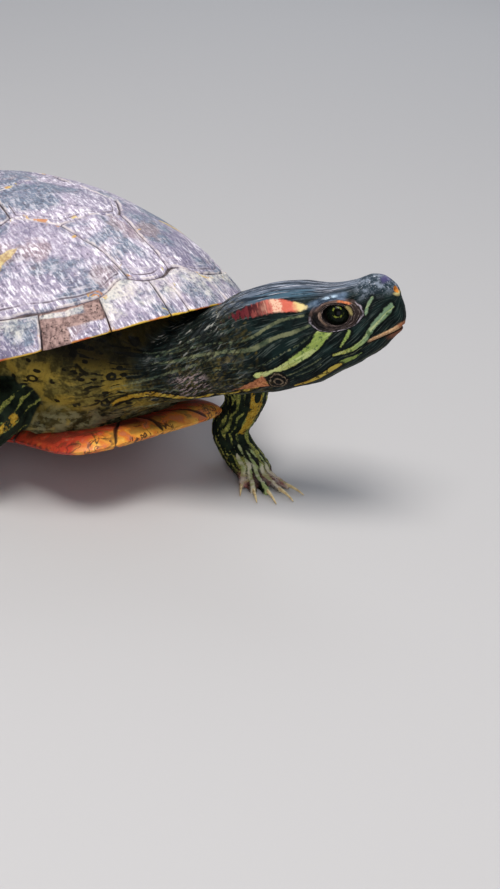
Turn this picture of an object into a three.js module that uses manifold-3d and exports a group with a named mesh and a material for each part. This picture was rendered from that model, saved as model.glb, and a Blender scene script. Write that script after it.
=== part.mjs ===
// A life-size red-eared slider turtle, propped on its forelegs with the neck stretched out and turned to
// its left. Units are millimetres, +Z up. The head points along +X, the turtle's left is +Y, and the origin
// lies on the floor under the rear of the plastron, where the belly rests.
import * as THREE from "three";
import { mergeVertices } from "three/addons/utils/BufferGeometryUtils.js";
import Module from "manifold-3d";

const wasm = await Module();
wasm.setup();

// ---------------------------------------------------------------- driving dimensions
const SHELL_LENGTH = 200;
const SHELL_WIDTH = 157;
const SHELL_TOP = 83; // above the underside of the plastron
const RIM_FRONT = 50; // height of the carapace's edge over the neck
const RIM_SIDE = 26;
const RIM_REAR = 27;
const SCUTE_THICKNESS = 4;
const RIM_WALL = 3;
const SEAM = 0.3; // width of the cut between two plates or two parts of the body
const NOSE_UP = 8; // degrees that the body is pitched up on its forelegs
const BELLY_FLAT = 0.8; // how far the tail end of the plastron is pressed flat
const BELLY_REST_X = -77; // the point of the shell that stands over the origin
const EYE_RADIUS = 5.3;
const MARGINALS = 12; // on each side, behind the single nuchal plate
const HALF_NUCHAL = 4;

const A = SHELL_LENGTH / 2;
const B = SHELL_WIDTH / 2;
const TAU = 2 * Math.PI;
const rad = THREE.MathUtils.degToRad;
const vec = (x, y, z) => new THREE.Vector3(x, y, z);
const flatSide = (yaw) => vec(-Math.sin(yaw), Math.cos(yaw), 0); // level, and to the left of a heading
const power = (value, exponent) => Math.sign(value) * Math.abs(value) ** exponent;

// Everything is modelled in the shell's own level frame and then pitched up onto the floor.
const toFloor = new THREE.Matrix4()
  .makeRotationY(-rad(NOSE_UP))
  .multiply(new THREE.Matrix4().makeTranslation(-BELLY_REST_X, 0, 0))
  .premultiply(new THREE.Matrix4().makeTranslation(0, 0, -BELLY_FLAT));
const onFloor = (x, y, z) => vec(x, y, z).applyMatrix4(toFloor);

// ---------------------------------------------------------------- solids
// A closed mesh whose faces point out, from a geometry with shared vertices merged.
function solid(geometry) {
  const bare = geometry.index ? geometry.toNonIndexed() : geometry.clone();
  const positions = new THREE.BufferGeometry();
  positions.setAttribute("position", bare.getAttribute("position"));
  const merged = mergeVertices(positions, 1e-3);
  const triVerts = new Uint32Array(merged.index.array);
  const build = () =>
    new wasm.Manifold(
      new wasm.Mesh({
        numProp: 3,
        vertProperties: new Float32Array(merged.attributes.position.array),
        triVerts,
      }),
    );
  const made = build();
  if (made.volume() > 0) return made;
  triVerts.reverse();
  return build();
}

const join = (parts) => parts.reduce((whole, part) => whole.add(part));

// A ball-like body whose surface is place(u, v), with u once round it and v from one pole to the other.
function formed(around, rows, place) {
  const ball = new THREE.SphereGeometry(1, around, rows);
  const position = ball.getAttribute("position");
  for (let i = 0; i < position.count; i++) {
    const u = (i % (around + 1)) / around;
    const v = Math.floor(i / (around + 1)) / rows;
    const p = place(u % 1, v);
    position.setXYZ(i, p.x, p.y, p.z);
  }
  return solid(ball);
}

// The smooth curve through the stations' values of one kind.
const through = (stations, pick) => new THREE.CatmullRomCurve3(stations.map(pick), false, "catmullrom", 0.5);

// A body swept through stations. Each has its centre, its half width along side, and its reach above and
// below. A roundness under 1 makes the section boxier, and grow swells the whole by that many millimetres.
// Sections stand square to the centre line, or to the stations' own heading where they have one.
function swept(stations, around, rows, grow = 0) {
  const centre = through(stations, (s) => s.at);
  const reach = through(stations, (s) => vec(s.wide, s.up, s.down));
  const sides = through(stations, (s) => s.side);
  const roundness = through(stations, (s) => vec(s.round, 0, 0));
  const headings = stations[0].ahead && through(stations, (s) => s.ahead);
  const frame = (t) => {
    const ahead = headings ? headings.getPoint(t).normalize() : centre.getTangent(t);
    const side = sides.getPoint(t).addScaledVector(ahead, -sides.getPoint(t).dot(ahead)).normalize();
    return { ahead, side, up: vec(0, 0, 0).crossVectors(ahead, side) };
  };
  return formed(around, rows, (u, v) => {
    const row = Math.round(v * rows);
    if (row === 0) return centre.getPoint(0).addScaledVector(frame(0).ahead, -grow);
    if (row === rows) return centre.getPoint(1).addScaledVector(frame(1).ahead, grow);
    const t = (row - 1) / (rows - 2);
    const { side, up } = frame(t);
    const size = reach.getPoint(t);
    const round = roundness.getPoint(t).x;
    const across = power(Math.cos(TAU * u), round) * (size.x + grow);
    const tall = power(Math.sin(TAU * u), round);
    return centre
      .getPoint(t)
      .addScaledVector(side, across)
      .addScaledVector(up, tall * ((tall > 0 ? size.y : size.z) + grow));
  });
}

const station = (at, side, wide, up = wide, down = up, round = 0.95) => ({ at, side, wide, up, down, round });
const headed = (ahead, stationed) => ({ ...stationed, ahead });

// A box standing on a line in plan, used as a knife.
function ribbon([x0, y0], [x1, y1], width = SEAM) {
  const length = Math.hypot(x1 - x0, y1 - y0) + width;
  const box = new THREE.BoxGeometry(length, width, 400);
  box.rotateZ(Math.atan2(y1 - y0, x1 - x0));
  box.translate((x0 + x1) / 2, (y0 + y1) / 2, 0);
  return solid(box);
}

const polylineRibbons = (points) => points.slice(1).map((point, i) => ribbon(points[i], point));

// ---------------------------------------------------------------- the shell's form
// The carapace's outline in plan: t runs from 0 at the nuchal plate to +-PI at the tail, and is positive
// on the left.
function outline(t) {
  const c = Math.cos(t);
  return { x: A * power(c, 0.95), y: B * power(Math.sin(t), 0.88) * (1 - 0.043 * c) };
}

function rimHeight(t) {
  const front = Math.max(Math.cos(t), 0) ** 2;
  const rear = Math.max(-Math.cos(t), 0) ** 2;
  return RIM_SIDE + (RIM_FRONT - RIM_SIDE) * front + (RIM_REAR - RIM_SIDE) * rear;
}

const edgeSteepness = (t) => {
  const c = Math.cos(t);
  return 0.72 + 0.2 * Math.max(c, 0) ** 4 + 0.08 * Math.max(-c, 0) ** 1.5;
};

// A point of the dome: rho is 0 at the crown and 1 at the rim. inset moves it in from the outer face.
function dome(rho, t, inset = 0) {
  const { x, y } = outline(t);
  const rim = rimHeight(t);
  const crown = SHELL_TOP - inset;
  const scale = (rho * (A - inset * (RIM_WALL / SCUTE_THICKNESS))) / A;
  const keel = 1.2 * Math.exp(-((rho * y) ** 2) / 18) * (1 - rho ** 4);
  return vec(x * scale, y * scale, rim + (crown - rim) * (1 - rho ** 2.18) ** edgeSteepness(t) + keel);
}

const SHELL_AROUND = 36;
const OUTER_ROWS = [0, 0.3, 0.56, 0.77, 0.9, 1];
const INNER_ROWS = [1, 0.86, 0.5, 0];
const LIP = 0.6; // how far the underside of the rim hangs below its edge

function carapaceBody() {
  const rows = OUTER_ROWS.length + INNER_ROWS.length - 1;
  return formed(SHELL_AROUND, rows, (u, v) => {
    const row = Math.round(v * rows);
    const t = TAU * u - (u > 0.5 ? TAU : 0);
    if (row < OUTER_ROWS.length) return dome(OUTER_ROWS[row], t);
    const inner = dome(INNER_ROWS[row - OUTER_ROWS.length], t, SCUTE_THICKNESS);
    if (row === OUTER_ROWS.length) inner.z -= LIP;
    return inner;
  });
}

// Where the marginal plates end inward, as a share of the outline. The seam dips in at the first
// vertebral's corners.
const FRONT_CORNER = 0.157; // the angle t of those corners
const marginalInner = (t) => {
  const c = Math.cos(t);
  const dip = 0.04 * Math.exp(-(((Math.abs(t) - FRONT_CORNER) / 0.09) ** 2));
  return 0.905 - 0.04 * Math.max(c, 0) ** 12 - 0.055 * Math.max(-c, 0) ** 2 - dip;
};

// The angle t at a distance along the rim from the nose end.
const rimTable = (() => {
  const steps = 720;
  const table = [{ t: 0, s: 0 }];
  for (let i = 1; i <= steps; i++) {
    const t = (Math.PI * i) / steps;
    const [p, q] = [outline(table[i - 1].t), outline(t)];
    table.push({ t, s: table[i - 1].s + Math.hypot(q.x - p.x, q.y - p.y) });
  }
  return table;
})();
const rimLength = rimTable.at(-1).s;
const rimAngle = (s) => rimTable.find((entry) => entry.s >= s - 1e-6)?.t ?? Math.PI;
const marginalSeam = (k) => rimAngle(HALF_NUCHAL + ((rimLength - HALF_NUCHAL) * k) / MARGINALS);

// Corners of the vertebral plates on one side, in shares of the half length and half width.
const SEAM_V_FRONT = [0.833, 0.125];
const SEAM_V_CORNERS = [
  [0.51, 0.17],
  [0.15, 0.22],
  [-0.25, 0.2],
  [-0.6, 0.13],
];
const SEAM_V_WIDEST = [
  [0.67, 0.13],
  [0.36, 0.3],
  [-0.05, 0.315],
  [-0.43, 0.255],
];
const SEAM_V_REAR = [-0.84, 0.3];
// Where the seams between costal plates reach the marginals, on a line that starts from the widest corners.
const SEAM_C_OUTER = [
  [0.34, 0.92],
  [-0.08, 0.95],
  [-0.5, 0.86],
];

const scaled = ([x, y], left) => [x * A, y * B * left];

// All the seams on one side, as lines in plan. left is 1 or -1.
function sideSeams(left) {
  const zigzag = [SEAM_V_FRONT];
  SEAM_V_CORNERS.forEach((corner, i) => zigzag.push(SEAM_V_WIDEST[i], corner));
  zigzag.push(SEAM_V_REAR);
  const lines = [zigzag.map((p) => scaled(p, left))];
  SEAM_C_OUTER.forEach((end, i) => lines.push([scaled(SEAM_V_WIDEST[i + 1], left), scaled(end, left)]));
  SEAM_V_CORNERS.forEach((corner) => lines.push([[corner[0] * A, 0], scaled(corner, left)]));
  for (let k = 0; k <= MARGINALS; k++) {
    const t = left * marginalSeam(k);
    const rim = outline(t);
    const [near, far] = [marginalInner(t) - 0.007, 1.05];
    lines.push([
      [rim.x * near, rim.y * near],
      [rim.x * far, rim.y * far],
    ]);
  }
  return lines;
}

const RING_DIP = [0.09, FRONT_CORNER, 0.26];

// The ring-shaped seam between the marginals and the plates inside them, with more points where it dips.
function ringSeam() {
  const angles = RING_DIP.flatMap((t) => [-t, t]);
  for (let i = 0; i < SHELL_AROUND; i++) {
    const t = (TAU * i) / SHELL_AROUND;
    if (i !== 1 && i !== SHELL_AROUND - 1) angles.push(t > Math.PI ? t - TAU : t);
  }
  angles.sort((a, b) => a - b);
  const ring = (offset) =>
    angles.map((t) => {
      const { x, y } = outline(t);
      const share = marginalInner(t) + offset / Math.hypot(x, y);
      return new THREE.Vector2(x * share, y * share);
    });
  const band = new THREE.Shape(ring(SEAM / 2));
  band.holes.push(new THREE.Path(ring(-SEAM / 2)));
  const wall = new THREE.ExtrudeGeometry(band, { depth: 400, bevelEnabled: false });
  wall.translate(0, 0, -200);
  return solid(wall);
}

// The middle of each plate in plan, to name the cut pieces by.
function plateCentres() {
  const centres = {};
  const rowsX = [SEAM_V_FRONT[0], ...SEAM_V_CORNERS.map((c) => c[0]), SEAM_V_REAR[0]];
  for (let i = 0; i < 5; i++) centres[`vertebral_${i + 1}`] = [((rowsX[i] + rowsX[i + 1]) / 2) * A, 0];
  const bounds = [0.72, ...SEAM_C_OUTER.map((c) => c[0]), -0.74];
  for (const [sideName, left] of [
    ["left", 1],
    ["right", -1],
  ]) {
    for (let i = 0; i < 4; i++) {
      const middle = [(bounds[i] + bounds[i + 1]) / 2, 0.56 - 0.08 * Math.abs(i - 1.5)];
      centres[`costal_${sideName}_${i + 1}`] = scaled(middle, left);
    }
    for (let k = 0; k < MARGINALS; k++) {
      const t = left * ((marginalSeam(k) + marginalSeam(k + 1)) / 2);
      const rim = outline(t);
      centres[`marginal_${sideName}_${String(k + 1).padStart(2, "0")}`] = [rim.x * 0.95, rim.y * 0.95];
    }
  }
  centres.nuchal = [A * 0.93, 0];
  return centres;
}

// ---------------------------------------------------------------- the plastron's form
const PLASTRON_THICKNESS = 6;
// Half of the outline in plan, from the front of the gular plates round to the notch between the anal plates.
const PLASTRON_OUTLINE = [
  [89.5, 0],
  [89.5, 13],
  [88.5, 25],
  [84.5, 33],
  [76, 36.6],
  [50, 40],
  [41, 62],
  [20, 71],
  [-12, 73],
  [-34, 66],
  [-42, 44],
  [-58, 40],
  [-76, 34],
  [-89, 20],
  [-90, 10],
  [-85, 0],
];
const BRIDGE_INNER = 44; // half width at which the bridge starts to rise to the marginals
const LOBE_LIFT = 4; // how far the front edge turns up

// How far the outline lies from the middle in a direction, straight between two of its corners.
function plastronReach(angle) {
  const a = Math.abs(angle);
  const next = PLASTRON_OUTLINE.findIndex(([x, y]) => Math.atan2(y, x) >= a - 1e-9);
  const [px, py] = PLASTRON_OUTLINE[Math.max(next, 1) - 1];
  const [qx, qy] = PLASTRON_OUTLINE[Math.max(next, 1)];
  const [rx, ry] = [Math.cos(a), Math.sin(a)];
  const share = (py * rx - px * ry) / ((qx - px) * ry - (qy - py) * rx);
  return Math.hypot(px + (qx - px) * share, py + (qy - py) * share);
}

// Height of the plastron's underside over its own level, from the bend of the bridge and of the front lobe.
function plastronLift(x, y) {
  const out = Math.max(0, (Math.abs(y) - BRIDGE_INNER) / (73 - BRIDGE_INNER));
  const front = Math.max(0, (x - 50) / 40);
  return (RIM_SIDE - PLASTRON_THICKNESS - 0.9) * out ** 1.4 + LOBE_LIFT * front ** 2;
}

const PLASTRON_AROUND = 36;
const PLASTRON_ROWS = [0, 0.6, 0.92, 1];

function plastronBody() {
  const rows = 2 * PLASTRON_ROWS.length - 1;
  return formed(PLASTRON_AROUND, rows, (u, v) => {
    const row = Math.round(v * rows);
    const under = row >= PLASTRON_ROWS.length;
    const share = under ? PLASTRON_ROWS[rows - row] : PLASTRON_ROWS[row];
    const angle = TAU * u - (u > 0.5 ? TAU : 0);
    const trim = under && share === 1 ? 0.985 : 1;
    const reach = plastronReach(angle) * share * trim;
    const [x, y] = [reach * Math.cos(angle), reach * Math.sin(angle)];
    const edge = share === 1 ? 1.4 : 0; // rounds the edge a little, above and below
    return vec(x, y, plastronLift(x, y) + (under ? edge : PLASTRON_THICKNESS - edge));
  });
}

// Lines across the plastron between its six pairs of plates, on one side, from the midline out.
const PLASTRON_SEAMS = [
  [[66, 0], [84, 18], [92, 24]],
  [[43, 0], [52, 30], [54, 60]],
  [[14, 0], [18, 40], [16, 90]],
  [[-28, 0], [-30, 40], [-26, 90]],
  [[-64, 0], [-56, 26], [-52, 60]],
];
const PLASTRON_PAIRS = ["gular", "humeral", "pectoral", "abdominal", "femoral", "anal"];

// ---------------------------------------------------------------- head and neck
const HEAD_YAW = rad(38);
const HEAD_PITCH = rad(24);
const HEAD_ROLL = rad(8); // crown leaning to the turtle's left
const EYES_MIDDLE = vec(133, 43.3, 51);

// The head's own axes: x ahead, y to its left, z up, with the origin midway between the eyes.
const headFrame = new THREE.Matrix4()
  .makeTranslation(EYES_MIDDLE.x, EYES_MIDDLE.y, EYES_MIDDLE.z)
  .multiply(new THREE.Matrix4().makeRotationZ(HEAD_YAW))
  .multiply(new THREE.Matrix4().makeRotationY(-HEAD_PITCH))
  .multiply(new THREE.Matrix4().makeRotationX(-HEAD_ROLL));
const inHead = (x, y, z) => vec(x, y, z).applyMatrix4(headFrame);
const headLeft = vec(0, 1, 0).transformDirection(headFrame);
const headAhead = vec(1, 0, 0).transformDirection(headFrame);

// Sections of the head: distance ahead of the eyes, crown, throat, half width, and the widest point's level.
const HEAD_SECTIONS = [
  [-34, 16.2, -18, 15.5, -1],
  [-25, 16, -19.4, 16, -2],
  [-16, 15, -20.6, 15.6, -4],
  [-8, 12.6, -19.6, 14.2, -5],
  [0, 9.4, -18.9, 11.6, -5],
  [8, 8.2, -17.7, 8.9, -4.5],
  [13.5, 7.9, -15.3, 6.9, -4],
  [17.4, 5.8, -13.4, 5, -4],
  [19.9, 2.2, -7, 2.8, -2.6],
];
const headStations = HEAD_SECTIONS.map(([x, crown, throat, wide, level]) => {
  const roundness = x > -4 ? 0.84 : 0.92;
  const section = station(inHead(x, 0, level), headLeft, wide, crown - level, level - throat, roundness);
  return headed(headAhead, section);
});
const LEFT = vec(0, 1, 0);
const neckStations = [
  headed(vec(0.99, 0.05, 0.12), station(vec(54, -3, 23), LEFT, 25, 11, 11)),
  headed(vec(0.93, 0.3, 0.22), station(vec(76, -1, 26.5), flatSide(rad(14)), 20.5, 13, 14)),
  headed(vec(0.8, 0.5, 0.33), station(vec(94, 9, 32), flatSide(rad(32)), 16, 12.2, 14.2)),
];
const headAndNeck = [...neckStations, ...headStations];

const EYE_AT = [-1.2, 6.9, -0.2]; // of the left eye, in the head's axes
const MOUTH_LINE = -14.1; // height of the mouth under the eyes, from where it rises to the beak
const MOUTH_SLOPE = rad(4);
const JAW_HINGE_X = -9;
const NECK_END_X = -31;

// A block in the head's axes, from its low corner to its high one, turned about its Y axis by tilt.
function headBlock(low, high, tilt = 0) {
  const box = new THREE.BoxGeometry(high[0] - low[0], high[1] - low[1], high[2] - low[2]);
  box.translate((low[0] + high[0]) / 2, (low[1] + high[1]) / 2, (low[2] + high[2]) / 2);
  box.rotateY(-tilt);
  return solid(box.applyMatrix4(headFrame));
}

// ---------------------------------------------------------------- limbs and tail
const PRESSED = 0.4; // how far a sole or a toe is flattened by the floor
// Toes fan out from the end of the palm or sole. Each is a tapering finger with a claw at its tip.
const heading = (yaw, x, z = 0) => vec(x * Math.cos(yaw), x * Math.sin(yaw), z);

function toe(root, yaw, length, thick, clawLength) {
  const side = flatSide(yaw);
  const step = (x, z) => vec(root.x, root.y, 0).add(heading(yaw, x, z));
  const stations = [
    station(step(-4, thick + 0.6), side, thick),
    station(step(length * 0.5, thick - PRESSED), side, thick),
    station(step(length, thick * 0.85 - PRESSED), side, thick * 0.85),
    station(step(length + 1.5, 1.6), side, 1.2),
    station(step(length + 1.5 + clawLength, 0.7), side, 0.45),
  ];
  return swept(stations, 5, stations.length + 1);
}

// The web between the toes: a thin fan from the palm to two thirds of their length.
function web(root, yaw, spread, length) {
  const fan = new THREE.Shape();
  const steps = 4;
  fan.moveTo(-4, 0);
  for (let i = 0; i <= steps; i++) {
    const a = -spread + (2 * spread * i) / steps;
    fan.lineTo(length * Math.cos(a), length * Math.sin(a));
  }
  fan.closePath();
  const plate = new THREE.ExtrudeGeometry(fan, { depth: 1.3, bevelEnabled: false });
  plate.rotateZ(yaw);
  plate.translate(root.x, root.y, 1.2);
  return solid(plate);
}

// A foot on the floor: palm is where its toes start.
function foot({ palm, yaw, spread, toes, toeLength, toeThick, clawLength, clawed = toes }) {
  const parts = [web(palm, yaw, spread, toeLength * 0.72)];
  for (let i = 0; i < toes; i++) {
    const off = -1 + (2 * i) / (toes - 1);
    const long = toeLength * (1 - 0.16 * off * off);
    const start = vec(palm.x, palm.y, 0).add(flatSide(yaw).multiplyScalar(off * toeThick * 2.1));
    parts.push(toe(start, yaw + off * spread, long, toeThick, i < clawed ? clawLength : 0.8));
  }
  return join(parts);
}

const floorStation = (x, y, z, side, wide, up, down) => station(vec(x, y, z), side, wide, up, down);

// Each limb is one swept body from inside the trunk to the palm or sole, given by a list of points
// [x, y, z, half width, front reach, back reach]. Those marked as floor points are measured from the floor.
function limb({ mirror = 1, shellPoints, floorPoints, yaw, foot: footSpec }) {
  const side = flatSide(yaw * mirror);
  const stations = [
    ...shellPoints.map(([x, y, z, ...reach]) => station(onFloor(x, y * mirror, z), side, ...reach)),
    ...floorPoints.map(([x, y, z, wide, up, down]) => floorStation(x, y * mirror, z, side, wide, up, down)),
  ];
  const last = stations.at(-1).at;
  const made = (grow) => swept(stations, 10, 2 * stations.length, grow);
  return {
    leg: made(0),
    socket: made(SEAM),
    foot: foot({ ...footSpec, palm: last, yaw: yaw * mirror }),
  };
}

const FORE_FOOT = { spread: rad(27), toes: 5, toeLength: 11.5, toeThick: 2.3, clawLength: 7.5 };
const HIND_FOOT = { spread: rad(38), toes: 5, toeLength: 17, toeThick: 2.6, clawLength: 6.5, clawed: 4 };

const LIMBS = {
  foreleg_left: limb({
    yaw: rad(-20),
    shellPoints: [
      [52, 33, 20, 9, 9, 9],
      [70, 41, 18, 9, 9, 9],
      [82.5, 46, 11, 8, 8, 8],
      [80, 46, 1, 7, 7, 7],
      [74.5, 45, -7, 6.8, 6.8, 6.8],
    ],
    floorPoints: [
      [156.5, 45, 6.8, 7, 5.2, 5.8],
      [163.5, 44, 4.4, 7.8, 3.8, 4.8],
      [170, 41.8, 3.4, 7.4, 2.8, 3.8],
    ],
    foot: FORE_FOOT,
  }),
  foreleg_right: limb({
    mirror: -1,
    yaw: rad(62),
    shellPoints: [
      [52, 33, 19, 9, 9, 9],
      [55, 48, 13, 9, 9, 9],
      [51, 66, 3, 8.4, 8, 8],
    ],
    floorPoints: [
      [123, 74, 13.5, 7.6, 6.8, 6.8],
      [123.5, 78, 6.2, 8, 5, 5.4],
      [125.5, 84.5, 3.8, 8.4, 3.4, 4.2],
      [128.5, 89.5, 3.2, 7.6, 2.6, 3.6],
    ],
    foot: FORE_FOOT,
  }),
  hindleg_left: limb({
    yaw: rad(128),
    shellPoints: [
      [-46, 34, 18, 12, 11, 11],
      [-58, 52, 14, 12, 11, 11],
      [-62, 68, 7, 10.5, 9, 9],
    ],
    floorPoints: [
      [9, 76, 7.4, 9.6, 6.4, 6.8],
      [2, 84, 4.4, 10, 4, 4.8],
      [-4, 92, 3.4, 9.4, 3, 3.8],
    ],
    foot: HIND_FOOT,
  }),
  hindleg_right: limb({
    mirror: -1,
    yaw: rad(138),
    shellPoints: [
      [-46, 34, 18, 12, 11, 11],
      [-58, 52, 14, 12, 11, 11],
      [-64, 67, 7, 10.5, 9, 9],
    ],
    floorPoints: [
      [5, 74, 7.4, 9.6, 6.4, 6.8],
      [-4, 81, 4.4, 10, 4, 4.8],
      [-12, 87.5, 3.4, 9.4, 3, 3.8],
    ],
    foot: HIND_FOOT,
  }),
};

const TAIL_MESH = [8, 12];
const tailStations = [
  station(onFloor(-66, 0, 16), LEFT, 9, 7, 7),
  station(onFloor(-86, 1, 13), LEFT, 7.5, 6.5, 6),
  floorStation(-27, 4, 8.5, LEFT, 5.4, 5, 5),
  floorStation(-40, 10, 4.4, flatSide(rad(-40)), 3.6, 3.4, 3.8),
  floorStation(-50, 19, 2.2, flatSide(rad(-50)), 2, 2, 2.6),
  floorStation(-57, 28, 0.8, flatSide(rad(-52)), 0.8, 0.8, 1.2),
];

// ---------------------------------------------------------------- trunk
const POCKET_BULGE = 0.12; // how far the loose skin between the plates swells out, as a share of its distance
const SKIN_GAP = 1; // between the flesh inside the shell and the plates

function trunkBody() {
  const topRows = INNER_ROWS.slice(1).reverse();
  const wallRows = [0.25, 0.5, 0.75];
  const floorRows = [1, 0.55, 0];
  const rows = topRows.length + wallRows.length + floorRows.length - 1;
  const base = (t) => {
    const angle = Math.atan2(outline(t).y, outline(t).x);
    const reach = Math.min(plastronReach(angle) * 0.9, BRIDGE_INNER + 40 * Math.cos(t) ** 4);
    return { angle, reach };
  };
  const topAt = (rho, t) => {
    const p = dome(rho, t, SCUTE_THICKNESS + SKIN_GAP);
    p.z -= SKIN_GAP;
    return p;
  };
  const floorAt = (share, t) => {
    const { angle, reach } = base(t);
    const [x, y] = [reach * share * Math.cos(angle), reach * share * Math.sin(angle)];
    return vec(x, y, plastronLift(x, y) + PLASTRON_THICKNESS + 3 * SKIN_GAP);
  };
  return formed(SHELL_AROUND / 2, rows, (u, v) => {
    const row = Math.round(v * rows);
    const t = TAU * u - (u > 0.5 ? TAU : 0);
    if (row < topRows.length) return topAt(topRows[row], t);
    const below = row - topRows.length - wallRows.length;
    if (below >= 0) return floorAt(floorRows[below], t);
    const k = wallRows[row - topRows.length];
    const wall = topAt(topRows.at(-1), t).lerp(floorAt(1, t), k);
    const bulge = 1 + POCKET_BULGE * Math.sin(Math.PI * k) * Math.abs(Math.cos(t)) ** 2;
    return vec(wall.x * bulge, wall.y * bulge, wall.z);
  });
}

// ---------------------------------------------------------------- assembly
function finish(color, roughness) {
  return new THREE.MeshStandardMaterial({ color, roughness, metalness: 0 });
}
const MATERIALS = {
  scute: finish(0x6f6a78, 0.45),
  plastron: finish(0xd8682a, 0.4),
  skin: finish(0x2c3a2e, 0.6),
  eye: finish(0x10140c, 0.08),
};

const turtle = new THREE.Group();

function addPart(name, body, material) {
  const mesh = body.getMesh();
  const geometry = new THREE.BufferGeometry();
  geometry.setAttribute("position", new THREE.BufferAttribute(new Float32Array(mesh.vertProperties), 3));
  geometry.setIndex(new THREE.BufferAttribute(new Uint32Array(mesh.triVerts), 1));
  const part = new THREE.Mesh(geometry, material);
  part.name = name;
  turtle.add(part);
}

// The floor, as a deep block that trims what would sink into it.
const floorBlock = solid(new THREE.BoxGeometry(800, 800, 100).translate(0, 0, -50));
const pitched = (body) => body.transform(toFloor.elements);

// Pieces of a cut body, named after the nearest of the given centres in plan.
function namedPieces(body, centres) {
  const found = new Map();
  for (const piece of body.decompose()) {
    if (piece.volume() < 5) continue;
    const { min, max } = piece.boundingBox();
    const [x, y] = [(min[0] + max[0]) / 2, (min[1] + max[1]) / 2];
    const distance = ([name, c]) => Math.hypot(c[0] - x, c[1] - y);
    const nearer = (best, entry) => (distance(entry) < distance(best) ? entry : best);
    const [name] = Object.entries(centres).reduce(nearer);
    if (found.has(name)) throw new Error(`two pieces of shell are nearest to ${name}`);
    found.set(name, piece);
  }
  return found;
}

// Carapace: one dome, parted into its plates along their seams.
const seamLines = [...sideSeams(1), ...sideSeams(-1)];
const knives = join([ringSeam(), ...seamLines.flatMap(polylineRibbons)]);
const plates = namedPieces(carapaceBody().subtract(knives), plateCentres());
for (const [name, piece] of plates) addPart(name, pitched(piece), MATERIALS.scute);

// Plastron: one plate, parted across into six pairs.
const plastronKnives = join(
  PLASTRON_SEAMS.flatMap((line) => [
    ...polylineRibbons(line),
    ...polylineRibbons(line.map(([x, y]) => [x, -y])),
  ]),
);
const pairs = plastronBody()
  .subtract(plastronKnives)
  .decompose()
  .filter((piece) => piece.volume() > 5)
  .sort((p, q) => q.boundingBox().max[0] - p.boundingBox().max[0]);
pairs.forEach((piece, i) => {
  addPart(`plastron_${PLASTRON_PAIRS[i]}`, pitched(piece).subtract(floorBlock), MATERIALS.plastron);
});

// Head and neck: one swept body, parted at the nape, the mouth and the eyes.
const HEAD_MESH = [16, 25];
const neckAndHead = swept(headAndNeck, ...HEAD_MESH);
const behindNape = headBlock([-120, -80, -80], [NECK_END_X - SEAM / 2, 80, 80]);
const aheadOfNape = headBlock([NECK_END_X + SEAM / 2, -80, -80], [60, 80, 80]);
const jawBlock = headBlock([JAW_HINGE_X, -40, -60], [60, 40, MOUTH_LINE - SEAM / 2], MOUTH_SLOPE);
const jawCut = headBlock([JAW_HINGE_X - SEAM, -40, -60], [60, 40, MOUTH_LINE + SEAM / 2], MOUTH_SLOPE);
const eyeball = (left, grow = 0) => {
  const at = inHead(EYE_AT[0], EYE_AT[1] * left, EYE_AT[2]);
  return solid(new THREE.SphereGeometry(EYE_RADIUS + grow, 12, 8).translate(at.x, at.y, at.z));
};
const eyeSockets = eyeball(1, SEAM).add(eyeball(-1, SEAM));
const skull = neckAndHead.intersect(aheadOfNape).subtract(jawCut).subtract(eyeSockets);
addPart("head", pitched(skull), MATERIALS.skin);
addPart("jaw", pitched(neckAndHead.intersect(aheadOfNape).intersect(jawBlock)), MATERIALS.skin);
addPart("neck", pitched(neckAndHead.intersect(behindNape)), MATERIALS.skin);
addPart("eye_left", pitched(eyeball(1)), MATERIALS.eye);
addPart("eye_right", pitched(eyeball(-1)), MATERIALS.eye);

// Limbs, each parted from its foot at the wrist or ankle, and the tail.
const FOOT_TOP = 9; // height of the cut between leg and foot
const lowSlab = (top) => solid(new THREE.BoxGeometry(800, 800, top).translate(0, 0, top / 2));
for (const [name, { leg, foot: toes }] of Object.entries(LIMBS)) {
  addPart(name, leg.subtract(lowSlab(FOOT_TOP + SEAM)).subtract(floorBlock), MATERIALS.skin);
  addPart(`${name}_foot`, leg.intersect(lowSlab(FOOT_TOP)).add(toes).subtract(floorBlock), MATERIALS.skin);
}
addPart("tail", swept(tailStations, ...TAIL_MESH).subtract(floorBlock), MATERIALS.skin);

// Trunk: the flesh inside the shell, with sockets for the neck, limbs and tail.
const sockets = join([
  pitched(swept(headAndNeck, ...HEAD_MESH, SEAM)),
  ...Object.values(LIMBS).map((made) => made.socket),
  swept(tailStations, ...TAIL_MESH, SEAM),
]);
const trunk = pitched(trunkBody()).subtract(sockets);
const larger = (one, other) => (one.volume() > other.volume() ? one : other);
addPart("trunk", trunk.decompose().reduce(larger), MATERIALS.skin);

export default turtle;
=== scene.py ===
# A life-size red-eared slider turtle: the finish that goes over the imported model.
# Shapes are worked out in millimetres with numpy and become meshes in metres.
import math

import bmesh
import bpy
import numpy as np
from mathutils import Matrix, Vector
from mathutils.kdtree import KDTree


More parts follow.
